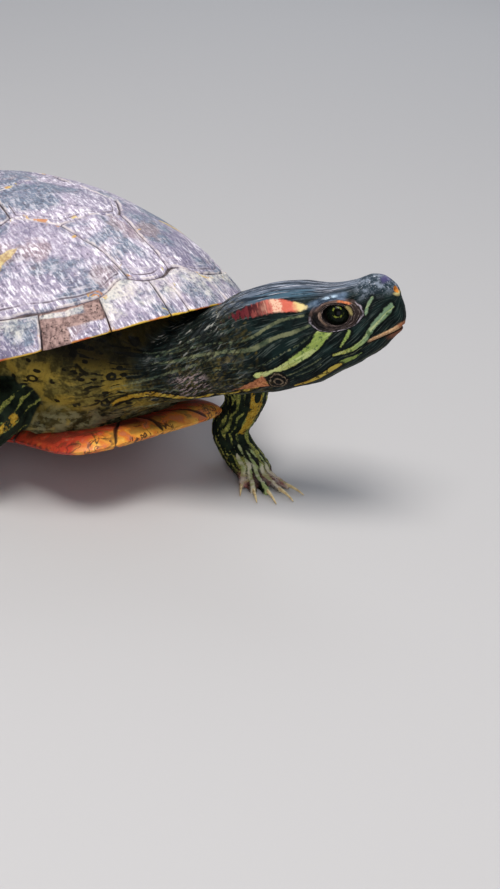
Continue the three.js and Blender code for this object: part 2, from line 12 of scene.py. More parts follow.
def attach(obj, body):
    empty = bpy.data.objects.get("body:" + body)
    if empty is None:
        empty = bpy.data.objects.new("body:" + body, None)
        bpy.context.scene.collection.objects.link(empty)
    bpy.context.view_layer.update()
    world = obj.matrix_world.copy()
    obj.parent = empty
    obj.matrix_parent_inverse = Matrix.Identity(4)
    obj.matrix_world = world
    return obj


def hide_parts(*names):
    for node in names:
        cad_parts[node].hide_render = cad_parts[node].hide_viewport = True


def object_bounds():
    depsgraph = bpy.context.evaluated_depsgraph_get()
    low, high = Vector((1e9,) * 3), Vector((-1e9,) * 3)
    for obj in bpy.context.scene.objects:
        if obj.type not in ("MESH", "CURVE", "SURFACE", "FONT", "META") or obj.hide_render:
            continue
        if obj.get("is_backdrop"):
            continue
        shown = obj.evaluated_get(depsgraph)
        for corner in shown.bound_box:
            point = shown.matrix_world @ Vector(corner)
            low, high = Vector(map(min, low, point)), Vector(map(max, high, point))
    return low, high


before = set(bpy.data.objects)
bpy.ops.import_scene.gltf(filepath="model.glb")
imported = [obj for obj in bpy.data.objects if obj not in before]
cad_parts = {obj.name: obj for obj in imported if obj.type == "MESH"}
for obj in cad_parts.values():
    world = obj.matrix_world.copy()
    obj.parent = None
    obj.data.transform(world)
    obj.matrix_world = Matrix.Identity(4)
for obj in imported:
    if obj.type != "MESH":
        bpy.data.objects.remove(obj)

cad_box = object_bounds()

MM = 0.001
TAU = 2 * math.pi
rad = math.radians
SIDES = (("left", 1), ("right", -1))

# ---------------------------------------------------------------- sizes, as in the solids
SHELL_LENGTH = 200
SHELL_WIDTH = 157
SHELL_TOP = 83
RIM_FRONT = 50
RIM_SIDE = 26
RIM_REAR = 27
SCUTE_THICKNESS = 4
NOSE_UP = 8
BELLY_FLAT = 0.8
BELLY_REST_X = -77
EYE_RADIUS = 5.3
CORNEA = 0.12
MARGINALS = 12
HALF_NUCHAL = 4
PLASTRON_THICKNESS = 6
BRIDGE_INNER, BRIDGE_OUTER, BRIDGE_GAP = 44, 73, 0.9
LOBE_START, LOBE_LENGTH, LOBE_LIFT = 50, 40, 4
# Half the shell's length and width, which the outline is drawn with.
A = SHELL_LENGTH / 2
B = SHELL_WIDTH / 2
PITCH_COS, PITCH_SIN = math.cos(rad(NOSE_UP)), math.sin(rad(NOSE_UP))

# Numbers of the finish that mean "nowhere near": a plate's bar, its lower lip, and a line of the skin.
NO_BAR = 50
NO_LIP = -30.0
OFF_LINE = -6.0
# The skin stays this far over the floor.
FLOOR_GAP = 0.02
# The dome is as steep as a wall at its edge, so slopes and heights are taken just inside it.
DOME_EDGE = 0.999
ROOF_EDGE = 0.99


# ---------------------------------------------------------------- numbers and noise
def power(value, exponent):
    return np.sign(value) * np.abs(value) ** exponent


def step(low, high, value):
    """0 below low, 1 above high and smooth between."""
    k = np.clip((value - low) / (high - low), 0, 1)
    return k * k * (3 - 2 * k)


def ridge(value, at, width):
    """A soft bump of height 1 at one value."""
    return np.exp(-(((value - at) / width) ** 2))


def unit(v):
    return v / np.maximum(np.linalg.norm(v, axis=-1, keepdims=True), 1e-12)


def scatter(cell, seed):
    """A fixed random number in -1..1 for each whole-number cell."""
    mixers = (374761393, 668265263, 2147483029)
    mask = np.uint64(0xFFFFFFFF)
    cell = cell.astype(np.int64).astype(np.uint64)
    h = np.full(cell.shape[:-1], (seed * 144269 + 1013) & 0xFFFFFFFF, np.uint64)
    for axis in range(cell.shape[-1]):
        h = (h + cell[..., axis] * np.uint64(mixers[axis])) & mask
        h = ((h ^ (h >> np.uint64(13))) * np.uint64(1274126177)) & mask
    return (h ^ (h >> np.uint64(16))).astype(float) / 2**31 - 1


def wobble(p, size, seed=0, octaves=3):
    """Smooth noise of about -1..1 at points p, with lumps of the given size."""
    total, gain = np.zeros(p.shape[:-1]), 1.0
    for octave in range(octaves):
        q = p * (2**octave / size) + 17.3 * octave
        low = np.floor(q)
        k = q - low
        k = k * k * (3 - 2 * k)
        value = np.zeros(p.shape[:-1])
        for corner in np.ndindex(*(2,) * p.shape[-1]):
            weight = np.prod(np.where(np.array(corner), k, 1 - k), axis=-1)
            value += weight * scatter(low + np.array(corner), seed + octave)
        total += gain * value
        gain *= 0.5
    return total


def cells(p, size, seed=0):
    """Distances from points in a plane to the nearest and the next nearest of a jittered grid of points."""
    q = p / size
    low = np.floor(q)
    near = np.full(p.shape[:-1], 9.0)
    second = near.copy()
    for offset in np.ndindex(3, 3):
        cell = low + np.array(offset) - 1
        point = cell + 0.5 + 0.36 * np.stack([scatter(cell, seed), scatter(cell, seed + 7)], -1)
        away = np.linalg.norm(q - point, axis=-1)
        second = np.minimum(second, np.maximum(near, away))
        near = np.minimum(near, away)
    return near * size, second * size


def through(points, t):
    """The smooth curve through points, at shares t of it."""
    points = np.asarray(points, float)
    last = len(points) - 1
    at = np.clip(np.asarray(t, float), 0, 1) * last
    i = np.minimum(np.floor(at).astype(int), last - 1)
    w = (at - i)[..., None]
    padded = np.vstack([2 * points[0] - points[1], points, 2 * points[-1] - points[-2]])
    before, start, end, after = (padded[i + k] for k in range(4))
    leave, arrive = (end - before) / 2, (after - start) / 2
    return (
        start
        + leave * w
        + (3 * (end - start) - 2 * leave - arrive) * w**2
        + (2 * (start - end) + leave + arrive) * w**3
    )


def wrapped(angle):
    """An angle brought to within half a turn of 0."""
    return (angle + math.pi) % TAU - math.pi


def run_along(points):
    """The length of a line up to each of its points."""
    return np.concatenate([[0], np.cumsum(np.linalg.norm(np.diff(points, axis=0), axis=1))])


def sampled(points, run, at):
    """Places in plan on a line, at some lengths along it."""
    return np.stack([np.interp(at, run, points[:, k]) for k in (0, 1)], -1)


def on_floor(p):
    """From the shell's own level frame to the pitched one it stands in."""
    p = np.asarray(p, float)
    x, z = p[..., 0] - BELLY_REST_X, p[..., 2]
    return np.stack([x * PITCH_COS - z * PITCH_SIN, p[..., 1], x * PITCH_SIN + z * PITCH_COS - BELLY_FLAT], -1)


def shell_frame(p):
    """From the floor's axes back to the shell's."""
    x, z = p[:, 0], p[:, 2] + BELLY_FLAT
    along, height = x * PITCH_COS + z * PITCH_SIN, z * PITCH_COS - x * PITCH_SIN
    return np.column_stack([along + BELLY_REST_X, p[:, 1], height])


# ---------------------------------------------------------------- meshes
def placed(name, data):
    """A new object in the scene."""
    thing = bpy.data.objects.new(name, data)
    bpy.context.scene.collection.objects.link(thing)
    return thing


def set_values(mesh, values):
    """Gives a mesh a number per point for each named value."""
    for key, numbers in values.items():
        mesh.attributes.new(key, "FLOAT", "POINT").data.foreach_set("value", np.asarray(numbers, np.float32))


def set_smooth(mesh):
    mesh.polygons.foreach_set("use_smooth", [True] * len(mesh.polygons))


def make_piece(name, verts, faces, material, values=None):
    """A smooth mesh object from points in millimetres."""
    mesh = bpy.data.meshes.new(name)
    mesh.from_pydata((np.asarray(verts) * MM).tolist(), [], [list(f) for f in faces])
    set_values(mesh, values or {})
    set_smooth(mesh)
    mesh.materials.append(material)
    return placed(name, mesh)


def ball_faces(rows, around):
    """Faces of a grid of rows closed round, with one point at each end."""
    j = np.arange(around)
    k = (j + 1) % around
    faces = []
    for i in range(rows - 1):
        a, b = i * around, (i + 1) * around
        faces.extend(np.stack([a + j, b + j, b + k, a + k], -1).tolist())
    first, last = rows * around, rows * around + 1
    faces.extend(np.stack([np.full(around, first), j, k], -1).tolist())
    end = (rows - 1) * around
    faces.extend(np.stack([np.full(around, last), end + k, end + j], -1).tolist())
    return faces


def facing_out(verts, faces):
    """The faces, turned over if they enclose a negative volume."""
    verts = np.asarray(verts)
    volume = 0.0
    for count in (3, 4):
        group = np.array([f for f in faces if len(f) == count], int).reshape(-1, count)
        for k in range(1, count - 1):
            a, b, c = verts[group[:, 0]], verts[group[:, k]], verts[group[:, k + 1]]
            volume += np.einsum("ij,ij->", a, np.cross(b, c))
    return faces if volume > 0 else [f[::-1] for f in faces]


def ball(grid, first=None, last=None):
    """A closed body from a grid of rows that run round it. The ends close on the mean of their rows."""
    rows, around = grid.shape[:2]
    ends = [grid[0].mean(0) if first is None else first, grid[-1].mean(0) if last is None else last]
    verts = np.vstack([grid.reshape(-1, 3), *[np.reshape(e, (1, 3)) for e in ends]])
    return verts, facing_out(verts, ball_faces(rows, around))


def joined(bodies):
    """Several bodies as one list of points and faces."""
    verts, faces, start = [], [], 0
    for points, polygons in bodies:
        verts.append(points)
        faces.extend([[i + start for i in f] for f in polygons])
        start += len(points)
    return np.vstack(verts), faces


# ---------------------------------------------------------------- the carapace's form
def outline(t):
    """The rim in plan. t is 0 in front and goes round by the left, and about the angle there."""
    c = np.cos(t)
    return A * power(c, 0.95), B * power(np.sin(t), 0.88) * (1 - 0.043 * c)


def rim_height(t):
    c = np.cos(t)
    front, rear = np.maximum(c, 0) ** 2, np.maximum(-c, 0) ** 2
    return RIM_SIDE + (RIM_FRONT - RIM_SIDE) * front + (RIM_REAR - RIM_SIDE) * rear


def edge_steepness(t):
    """An exponent of the dome's profile: the lower, the steeper its edge."""
    c = np.cos(t)
    return 0.72 + 0.2 * np.maximum(c, 0) ** 4 + 0.08 * np.maximum(-c, 0) ** 1.5


FRONT_CORNER = 0.157


def marginal_inner(t):
    """The share of the way out to the rim at which the marginal plates begin."""
    c = np.cos(t)
    dip = 0.04 * ridge(np.abs(t), FRONT_CORNER, 0.09)
    return 0.905 - 0.04 * np.maximum(c, 0) ** 12 - 0.055 * np.maximum(-c, 0) ** 2 - dip


def dome_height(rho, t, y, inset=0.0):
    rim = rim_height(t)
    keel = 1.2 * np.exp(-(y**2) / 18) * (1 - rho**4)
    return rim + (SHELL_TOP - inset - rim) * (1 - np.minimum(rho, 1) ** 2.18) ** edge_steepness(t) + keel


RIM_T = np.linspace(0, math.pi, 1441)
RIM_XY = np.stack(outline(RIM_T), -1)
RIM_RUN = run_along(RIM_XY)
RIM_ANGLE = np.arctan2(RIM_XY[:, 1], RIM_XY[:, 0])


def dome_point(rho, t, inset=0.0, shrink=1):
    """The point of the dome, or of one inset under it, at a share rho of the way out to its rim."""
    ox, oy = outline(t)
    return np.stack([rho * ox * shrink, rho * oy * shrink, dome_height(rho, t, rho * oy, inset)], -1)


def inner_dome(rho, t, inset):
    """The dome inset by a thickness and drawn in at the rim."""
    return dome_point(rho, t, inset, (A - 0.75 * inset) / A)


def dome_place(x, y):
    """rho and t of the dome over a point in plan."""
    t = np.interp(np.arctan2(np.abs(y), x), RIM_ANGLE, RIM_T)
    ox, oy = outline(t)
    return np.hypot(x, y) / np.hypot(ox, oy), np.where(y < 0, -t, t)


# Corners of the seams between vertebral plates, and where costal seams meet the rim, as shares of A and B.
SEAM_V_FRONT = [0.833, 0.125]
SEAM_V_CORNERS = [[0.51, 0.17], [0.15, 0.22], [-0.25, 0.2], [-0.6, 0.13]]
SEAM_V_WIDEST = [[0.67, 0.13], [0.36, 0.3], [-0.05, 0.315], [-0.43, 0.255]]
SEAM_V_REAR = [-0.84, 0.3]
SEAM_C_OUTER = [[0.34, 0.92], [-0.08, 0.95], [-0.5, 0.86]]
SEAM_HALF = 0.16


def ring_point(t):
    x, y = outline(t)
    share = marginal_inner(t)
    return np.stack([x * share, y * share], -1)


def to_ring(start, end):
    """Where a line in plan from start towards end meets the marginal plates."""
    start, end = np.array(start, float), np.array(end, float)
    low, high = 0.0, 1.6
    for _ in range(40):
        mid = (low + high) / 2
        rho, t = dome_place(*(start + (end - start) * mid))
        low, high = (mid, high) if rho < marginal_inner(t) else (low, mid)
    return start + (end - start) * low


def ring_arc(start, end):
    """Points on the marginal plates' inner edge, from one point on it to another."""
    t0, t1 = dome_place(*start)[1], dome_place(*end)[1]
    if abs(t1 - t0) > math.pi:
        t1 += TAU if t1 < t0 else -TAU
    return ring_point(np.linspace(t0, t1, 60))


def scute_outlines():
    """The boundary in plan of each vertebral and costal plate, with the middle of its growth rings."""
    size = np.array([A, B])
    corners, widest = np.array(SEAM_V_CORNERS) * size, np.array(SEAM_V_WIDEST) * size
    front = ring_point(dome_place(*(np.array(SEAM_V_FRONT) * size))[1])
    rear = ring_point(dome_place(*(np.array(SEAM_V_REAR) * size))[1])
    outer = [to_ring(widest[i + 1], np.array(SEAM_C_OUTER[i]) * size) for i in range(3)]
    flip = np.array([1, -1])
    plates = {}
    halves = [
        [ring_point(0.0), front, widest[0], corners[0]],
        [corners[0], widest[1], corners[1]],
        [corners[1], widest[2], corners[2]],
        [corners[2], widest[3], corners[3]],
        [corners[3], rear],
    ]
    for i, half in enumerate(halves):
        left = list(half)
        if i == 0:
            left = list(ring_arc(half[0], front))[:-1] + left[1:]
        if i == 4:
            left = left[:1] + list(ring_arc(rear, ring_point(math.pi)))
        right = [p * flip for p in reversed(left)]
        last = half[-1][0] if i < 4 else ring_point(math.pi)[0]
        plates[f"vertebral_{i + 1}"] = (left + right, np.array([np.mean([half[0][0], last]) - 3, 0]))
    costals = [
        [*ring_arc(outer[0], front), widest[0], corners[0], widest[1]],
        [*ring_arc(outer[1], outer[0]), widest[1], corners[1], widest[2]],
        [*ring_arc(outer[2], outer[1]), widest[2], corners[2], widest[3]],
        [*ring_arc(rear, outer[2]), widest[3], corners[3]],
    ]
    for i, points in enumerate(costals):
        points = np.array(points)
        low, high = points.min(0), points.max(0)
        heart = low + (high - low) * np.array([0.43, 0.42])
        for side, left in SIDES:
            plates[f"costal_{side}_{i + 1}"] = (list(points * [1, left]), heart * [1, left])
    return plates


def spaced(points, count):
    """A closed line in plan, evenly resampled."""
    loop = np.array(points, float)
    keep = np.linalg.norm(loop - np.roll(loop, 1, axis=0), axis=1) > 1e-3
    loop = loop[keep]
    loop = np.vstack([loop, loop[:1]])
    run = run_along(loop)
    return sampled(loop, run, np.linspace(0, run[-1], count, endpoint=False))


def seam_sway(p):
    """How far a seam wanders from its straight line, the same for both plates that it parts."""
    return 0.55 * np.stack([wobble(p, 9, 31, 2), wobble(p, 9, 47, 2)], -1)


def edge_distance(p, loop):
    """Distance in plan from points to a closed line."""
    start, end = loop, np.roll(loop, -1, axis=0)
    along = end - start
    best = np.full(len(p), 1e9)
    for a, d in zip(start, along):
        k = np.clip(((p - a) @ d) / max(d @ d, 1e-9), 0, 1)
        best = np.minimum(best, np.linalg.norm(p - a - k[:, None] * d, axis=1))
    return best


def weathering(p3, seed):
    """Slow unevenness and fine grain of old horn."""
    return 0.16 * wobble(p3, 11, seed, 2) + 0.07 * wobble(p3, 2.2, seed + 5, 2)


def roof_over(q):
    """The dome's rho, t and height over points in the shell's own frame."""
    x, y = q[:, 0], q[:, 1]
    rho, t = dome_place(x, y)
    return rho, t, dome_height(np.minimum(rho, ROOF_EDGE), t, y)


def scute_relief(p3, seam, ring, reach, lower, seed):
    """Height of a plate's face over the dome, and how deep in a growth line along its borders it is."""
    wander = 0.45 * wobble(p3, 13, seed + 3, 2)
    relief, growth = weathering(p3, seed), 0
    for at, depth, width in ((2.5, 0.5, 0.3), (4.6, 0.26, 0.4)):
        away = seam - at - wander
        strength = np.clip(0.2 + 0.8 * lower + 0.5 * wobble(p3, 15, seed + int(at * 10), 1), 0.04, 1)
        growth = growth + strength * depth * 2 * ridge(away, 0, width)
        relief = relief - depth * strength * ridge(away, 0, width) - 0.22 * strength * step(0.5, -0.5, away)
    for at, depth, width in ((0.68, 0.2, 0.6), (0.56, 0.13, 0.7), (0.43, 0.1, 0.8)):
        away = (ring - at) * reach - wander * 2
        relief = relief - depth * ridge(away, 0, width) * np.clip(0.5 + wobble(p3, 12, seed + 60, 1), 0, 1)
    edge = 0.85 * (1 - step(0.0, 0.75, seam)) ** 1.2
    return relief - edge, growth


def raised(plan, z):
    """Points over places in plan."""
    return np.concatenate([plan, z[..., None]], -1)


def plate_rows(rim, heart, count, crowding):
    """A plate's edge without half a seam, its reach from the heart, and rows of it that shrink to there."""
    reach = np.linalg.norm(rim - heart, axis=1)
    rim = heart + (rim - heart) * ((reach - SEAM_HALF) / reach)[:, None]
    rows = (1 - np.linspace(0, 1, count) ** crowding)[:-1]
    return rim, reach, rows, heart + (rim - heart)[None] * rows[:, None, None]


SCUTE_SIDE = 2.2
SCUTE_DEPTH = 3.2
SCUTE_SUNK = 0.12


def scute(loop, heart, seed, around=184):
    """One plate of the dome as a closed body, with its distance from the seam, growth lines and pale bar."""
    rim = spaced(loop, around)
    rim, reach, rows, plan = plate_rows(rim + seam_sway(rim), heart, 42, 1.45)
    rho, t = dome_place(plan[..., 0], plan[..., 1])
    base = dome_height(np.minimum(rho, DOME_EDGE), t, plan[..., 1])
    p3 = raised(plan, base)
    seam = edge_distance(plan.reshape(-1, 2), rim).reshape(len(rows), around)
    ring = np.broadcast_to(rows[:, None], seam.shape)
    lower = step(-0.02, 0.14, rho - dome_place(*heart)[0])
    relief, growth = scute_relief(p3, seam, ring, (reach - SEAM_HALF)[None], lower, seed)
    relief = relief - SCUTE_SUNK
    aside = np.abs(plan[..., 1])
    bar = np.abs(plan[..., 0] - heart[0] + 4 + 0.03 * aside) + (NO_BAR if heart[1] == 0 else 0)
    bar = bar + np.maximum(0, 36 - aside) * 0.4
    normal = dome_normal(plan[..., 0], plan[..., 1])
    top = p3 + normal * relief[..., None]
    below = top[:1] - normal[:1] * SCUTE_SIDE
    inner_rows = np.array([0.7, 0.35])[:, None, None]
    inner_plan = heart + (rim - heart)[None] * inner_rows
    rho, t = dome_place(inner_plan[..., 0], inner_plan[..., 1])
    inner = raised(inner_plan, dome_height(rho, t, inner_plan[..., 1]) - SCUTE_DEPTH)
    middle = float(dome_height(*dome_place(*heart), heart[1]))
    ends = top[-1].mean(0), np.array([*heart, middle - SCUTE_DEPTH])
    verts, faces = ball(np.concatenate([top[::-1], below, inner]), *ends)

    def whole(numbers, hidden, *tips):
        """The face's numbers in the body's order, then those of its three hidden rows and its two ends."""
        return np.concatenate([numbers[::-1].ravel(), np.full(3 * around, hidden), tips])

    values = {
        "seam": whole(seam, 0, 30, 0),
        "growth": whole(growth, 0, 0, 0),
        "bar": whole(bar, NO_BAR, NO_BAR, NO_BAR),
        "low": whole(lower, 0, 0, 0),
    }
    return on_floor(verts), faces, values


def dome_normal(x, y):
    """The direction square to the dome over a point in plan."""
    def height(px, py):
        rho, t = dome_place(px, py)
        return dome_height(np.minimum(rho, DOME_EDGE), t, py)

    e = 0.05
    slope_x = (height(x + e, y) - height(x - e, y)) / (2 * e)
    slope_y = (height(x, y + e) - height(x, y - e)) / (2 * e)
    return unit(np.stack([-slope_x, -slope_y, np.ones_like(slope_x)], -1))


def marginal(s0, s1, left, seed, notch, around=44):
    """One plate of the rim, as a loop across it run along the edge, from s0 to s1 along the rim."""
    s = np.linspace(s0 + SEAM_HALF, s1 - SEAM_HALF, around)
    t = np.where(s < 0, -1, 1) * np.interp(np.abs(s), RIM_RUN, RIM_T)
    ox, oy = outline(t)
    v = np.linspace(0, 1, 30) ** 0.9
    rho = (marginal_inner(t) + SEAM_HALF / 90)[None] * (1 - v[:, None]) + v[:, None]
    outer = dome_point(rho, t)
    v_in = np.linspace(1, 0, 16)
    rho_in = marginal_inner(t)[None] * (1 - v_in[:, None]) + v_in[:, None]
    inner = inner_dome(rho_in, t, SCUTE_THICKNESS)
    inner[..., 2] -= 0.6 * v_in[:, None] ** 4
    flat = unit(np.stack([ox, oy, np.zeros_like(ox)], -1))
    ends = np.minimum(s - s0, s1 - s)
    depth = notch * (1 - step(0, 2.2, ends)) * 0.9
    outer = outer - flat[None] * (depth[None] * v[:, None] ** 3)[..., None]
    inner = inner - flat[None] * (depth[None] * v_in[:, None] ** 3)[..., None]
    run = np.cumsum(np.linalg.norm(np.diff(outer, axis=0, prepend=outer[:1]), axis=-1), axis=0)
    seam = np.minimum(run + SEAM_HALF, ends[None])
    along, across = np.gradient(outer, axis=1), np.gradient(outer, axis=0)
    normal = unit(np.cross(along, across))
    normal *= np.sign((normal * flat[None]).sum(-1) + normal[..., 2])[..., None]
    middle, half = s0 + 0.6 * (s1 - s0), 0.62 * (s1 - s0)
    ring = np.maximum(1 - 0.94 * v[:, None], np.abs(s - middle)[None] / half * (0.55 + 0.45 * v[:, None]))
    relief, growth = scute_relief(outer, seam, ring, reach=13, lower=0.1, seed=seed)
    outer = outer + normal * (relief * step(0, 0.25, 1 - v[:, None] * 0.9) - 0.1)[..., None]
    under = -0.35 * (1 - step(0, 1, ends))
    inner = inner - flat[None] * under[None, :, None] * 0.5
    loop = np.concatenate([outer, inner])
    edge = len(v) - 1
    for _ in range(3):
        mean = (np.roll(loop, 1, axis=0) + np.roll(loop, -1, axis=0)) / 2
        k = ridge(np.arange(len(loop)), edge + 0.5, 2.6)[:, None, None] * 0.8
        loop = loop * (1 - k) + mean * k
    length = np.cumsum(np.linalg.norm(np.diff(loop, axis=0, prepend=loop[:1]), axis=-1), axis=0)
    lip = length - length[edge]
    verts, faces = ball(np.swapaxes(loop, 0, 1) * [1, left, 1])
    inner_pad = np.zeros((len(v_in), around))
    seam = np.concatenate([seam, np.minimum(ends, 2)[None] + inner_pad])
    growth = np.concatenate([growth, inner_pad])
    fore = np.broadcast_to((s1 - s)[None] / (s1 - s0), lip.shape)
    out = np.broadcast_to(np.concatenate([v, v_in])[:, None], lip.shape)
    values = {
        "seam": seam, "growth": growth * 0.4, "lip": lip, "bar": lip * 0 + NO_BAR, "fore": fore, "low": out,
    }
    values = {key: np.append(np.swapaxes(n, 0, 1).ravel(), [0, 0]) for key, n in values.items()}
    return on_floor(verts), faces, values


def bone_shell():
    """The dark bone under the plates, which closes the seams between them."""
    t = np.linspace(-math.pi, math.pi, 97)[:-1]
    grid = []
    for rows, inset, drop in (
        (np.linspace(0.04, 0.965, 26), 0.0, 1.25), (np.linspace(0.93, 0.05, 8), SCUTE_THICKNESS, 0.4),
    ):
        rho = rows[:, None]
        ox, oy = outline(t)
        grid.append(dome_point(rho, t, inset) - dome_normal(rho * ox, rho * oy) * drop)
    verts, faces = ball(np.concatenate(grid))
    return on_floor(verts), faces


# ---------------------------------------------------------------- the plastron's form
PLASTRON_OUTLINE = [
    [89.5, 0], [89.5, 13], [88.5, 25], [84.5, 33], [76, 36.6], [50, 40], [41, 62], [20, 71], [-12, 73],
    [-34, 66], [-42, 44], [-58, 40], [-76, 34], [-89, 20], [-90, 10], [-85, 0],
]
PLASTRON_SEAMS = [
    [[66, 0], [84, 18], [92, 24]],
    [[43, 0], [52, 30], [54, 60]],
    [[14, 0], [18, 40], [16, 90]],
    [[-28, 0], [-30, 40], [-26, 90]],
    [[-64, 0], [-56, 26], [-52, 60]],
]
PLASTRON_PAIRS = ["gular", "humeral", "pectoral", "abdominal", "femoral", "anal"]


def plastron_lift(x, y):
    """How far the plastron rises over its flat: at the bridges to the rim, and at the front lobe."""
    out = np.maximum(0, (np.abs(y) - BRIDGE_INNER) / (BRIDGE_OUTER - BRIDGE_INNER))
    front = np.maximum(0, (x - LOBE_START) / LOBE_LENGTH)
    return (RIM_SIDE - PLASTRON_THICKNESS - BRIDGE_GAP) * out**1.4 + LOBE_LIFT * front**2


def densely(points, gap=0.5):
    """Straight lines through points, sampled closely."""
    points = np.array(points, float)
    run = run_along(points)
    return sampled(points, run, np.linspace(0, run[-1], int(run[-1] / gap) + 2))


def plastron_plates():
    """For each pair, the left plate's boundary and the part of it that lies on the free edge."""
    free = through(PLASTRON_OUTLINE, np.linspace(0, 1, 700)) * 0.992
    free[0, 1] = free[-1, 1] = 0
    cuts = [(free[:1], 0)]
    for line in PLASTRON_SEAMS:
        seam = densely(line)
        gaps = np.linalg.norm(seam[:, None] - free[None], axis=-1)
        i, j = np.unravel_index(np.argmin(gaps), gaps.shape)
        cuts.append((seam[: i + 1], j))
    cuts.append((free[-1:], len(free) - 1))
    plates = []
    for (before, j), (after, k) in zip(cuts, cuts[1:]):
        plates.append((np.vstack([before, free[j : k + 1], after[::-1]]), free[j : k + 1]))
    return plates


def plastron_plate(loop, free, left, seed, around=150):
    """One plate of the plastron: rounded at its free edge and grooved where it meets another."""
    rim = spaced(loop, around)
    inner_edge = step(0, 3, edge_distance(rim, free))[:, None]
    rim = rim + seam_sway(rim) * inner_edge
    rim, reach, rows, plan = plate_rows(rim, rim.mean(0), 30, 1.5)
    flat = plan.reshape(-1, 2)
    seam = edge_distance(flat, rim).reshape(plan.shape[:2])
    away = edge_distance_open(flat, free).reshape(plan.shape[:2])
    p3 = np.concatenate([plan * [1, left], np.zeros_like(plan[..., :1])], -1)
    lift = plastron_lift(plan[..., 0], plan[..., 1])
    rolled = (1 - np.clip(away / 10, 0, 1)) ** 2.4
    under_rolled = (1 - np.clip(away / 4, 0, 1)) ** 2
    groove = 0.55 * (1 - step(0, 0.9, seam))
    bands = 0
    for at, depth in ((0.88, 0.2), (0.74, 0.12)):
        bands = bands + depth * ridge((rows[:, None] - at) * reach[None], 0, 0.55)
    grain = 0.1 * wobble(p3, 7, seed, 3) * step(0, 2, seam)
    low = lift + groove + bands - grain + 1.1 * under_rolled
    high = lift + PLASTRON_THICKNESS - 0.6 * groove + grain - 4 * rolled
    high = np.maximum(high, low + 0.25)
    verts, faces = ball(np.concatenate([raised(plan, high)[::-1], raised(plan, low)]) * [1, left, 1])
    verts = on_floor(verts)
    verts[:, 2] = np.maximum(verts[:, 2], 0)

    def both(top, bottom, *tips):
        return np.concatenate([top[::-1].ravel(), bottom.ravel(), tips])

    fore = step(72, 88, plan[..., 0])
    values = {
        "seam": both(seam, seam, 20, 20),
        "free": both(away, away, 20, 20),
        "upper": both(np.ones_like(seam), np.zeros_like(seam), 1, 0),
        "fore": both(fore, fore, 0, 0),
    }
    return verts, faces, values


def edge_distance_open(p, line):
    """Distance in plan from points to an open line."""
    gaps = np.full(len(p), 1e9)
    for a in line[::2]:
        gaps = np.minimum(gaps, np.linalg.norm(p - a, axis=1))
    return gaps


# ---------------------------------------------------------------- swept flesh
def turned(axis, degrees):
    return np.array(Matrix.Rotation(rad(degrees), 3, axis))


HEAD_TURN = turned("Z", 38) @ turned("Y", -24) @ turned("X", -8)
EYES_MIDDLE = np.array([133, 43.3, 51])
LEFT = np.array([0.0, 1, 0])


def in_head(p):
    """From the head's axes to the floor's."""
    return on_floor(np.asarray(p, float) @ HEAD_TURN.T + EYES_MIDDLE)


def from_head(p):
    """From the floor's axes to the head's."""
    origin = in_head([0, 0, 0])
    turn = np.stack([in_head(axis) - origin for axis in np.eye(3)], -1)
    return (np.asarray(p) - origin) @ turn


def heading(degrees):
    return np.array([math.cos(rad(degrees)), math.sin(rad(degrees)), 0])


def flat_side(degrees):
    return np.array([-math.sin(rad(degrees)), math.cos(rad(degrees)), 0])


def station(at, side, wide, up, down, roundness=0.95, ahead=(0, 0, 0)):
    """A section of a tube: its middle, the way its side faces, its half sizes and maybe the way it looks."""
    return [*at, *side, wide, up, down, roundness, *ahead]


# Place along the head's axis, height of crown and throat, half width, and height of the section's middle.
HEAD_SECTIONS = [
    [-34, 17.9, -18, 15.5, -1],
    [-25, 17.7, -19.4, 16, -2],
    [-16, 16.2, -20.6, 15.6, -4],
    [-8, 13.5, -19.6, 14.2, -5],
    [0, 9.4, -18.9, 11.6, -5],
    [8, 8.2, -17.7, 8.9, -4.5],
    [13.5, 7.9, -15.3, 6.9, -4],
    [17.4, 5.8, -13.4, 5, -4],
    [19.9, 2.2, -7, 2.8, -2.6],
]


def neck_and_head_stations():
    """Sections from the neck's root inside the shell to the snout, in the shell's frame."""
    ahead, left = HEAD_TURN[:, 0], HEAD_TURN[:, 1]
    made = [
        station([54, -3, 23], LEFT, 25, 11, 11, 0.95, [0.99, 0.05, 0.12]),
        station([76, -1, 26.5], flat_side(14), 20.5, 13, 14, 0.95, [0.93, 0.3, 0.22]),
        station([94, 9, 32], flat_side(32), 16, 13.4, 14.2, 0.95, [0.8, 0.5, 0.33]),
    ]
    for x, crown, throat, wide, level in HEAD_SECTIONS:
        at = HEAD_TURN @ [x, 0, level] + EYES_MIDDLE
        made.append(station(at, left, wide, crown - level, level - throat, 0.84 if x > -4 else 0.92, ahead))
    return np.array(made)


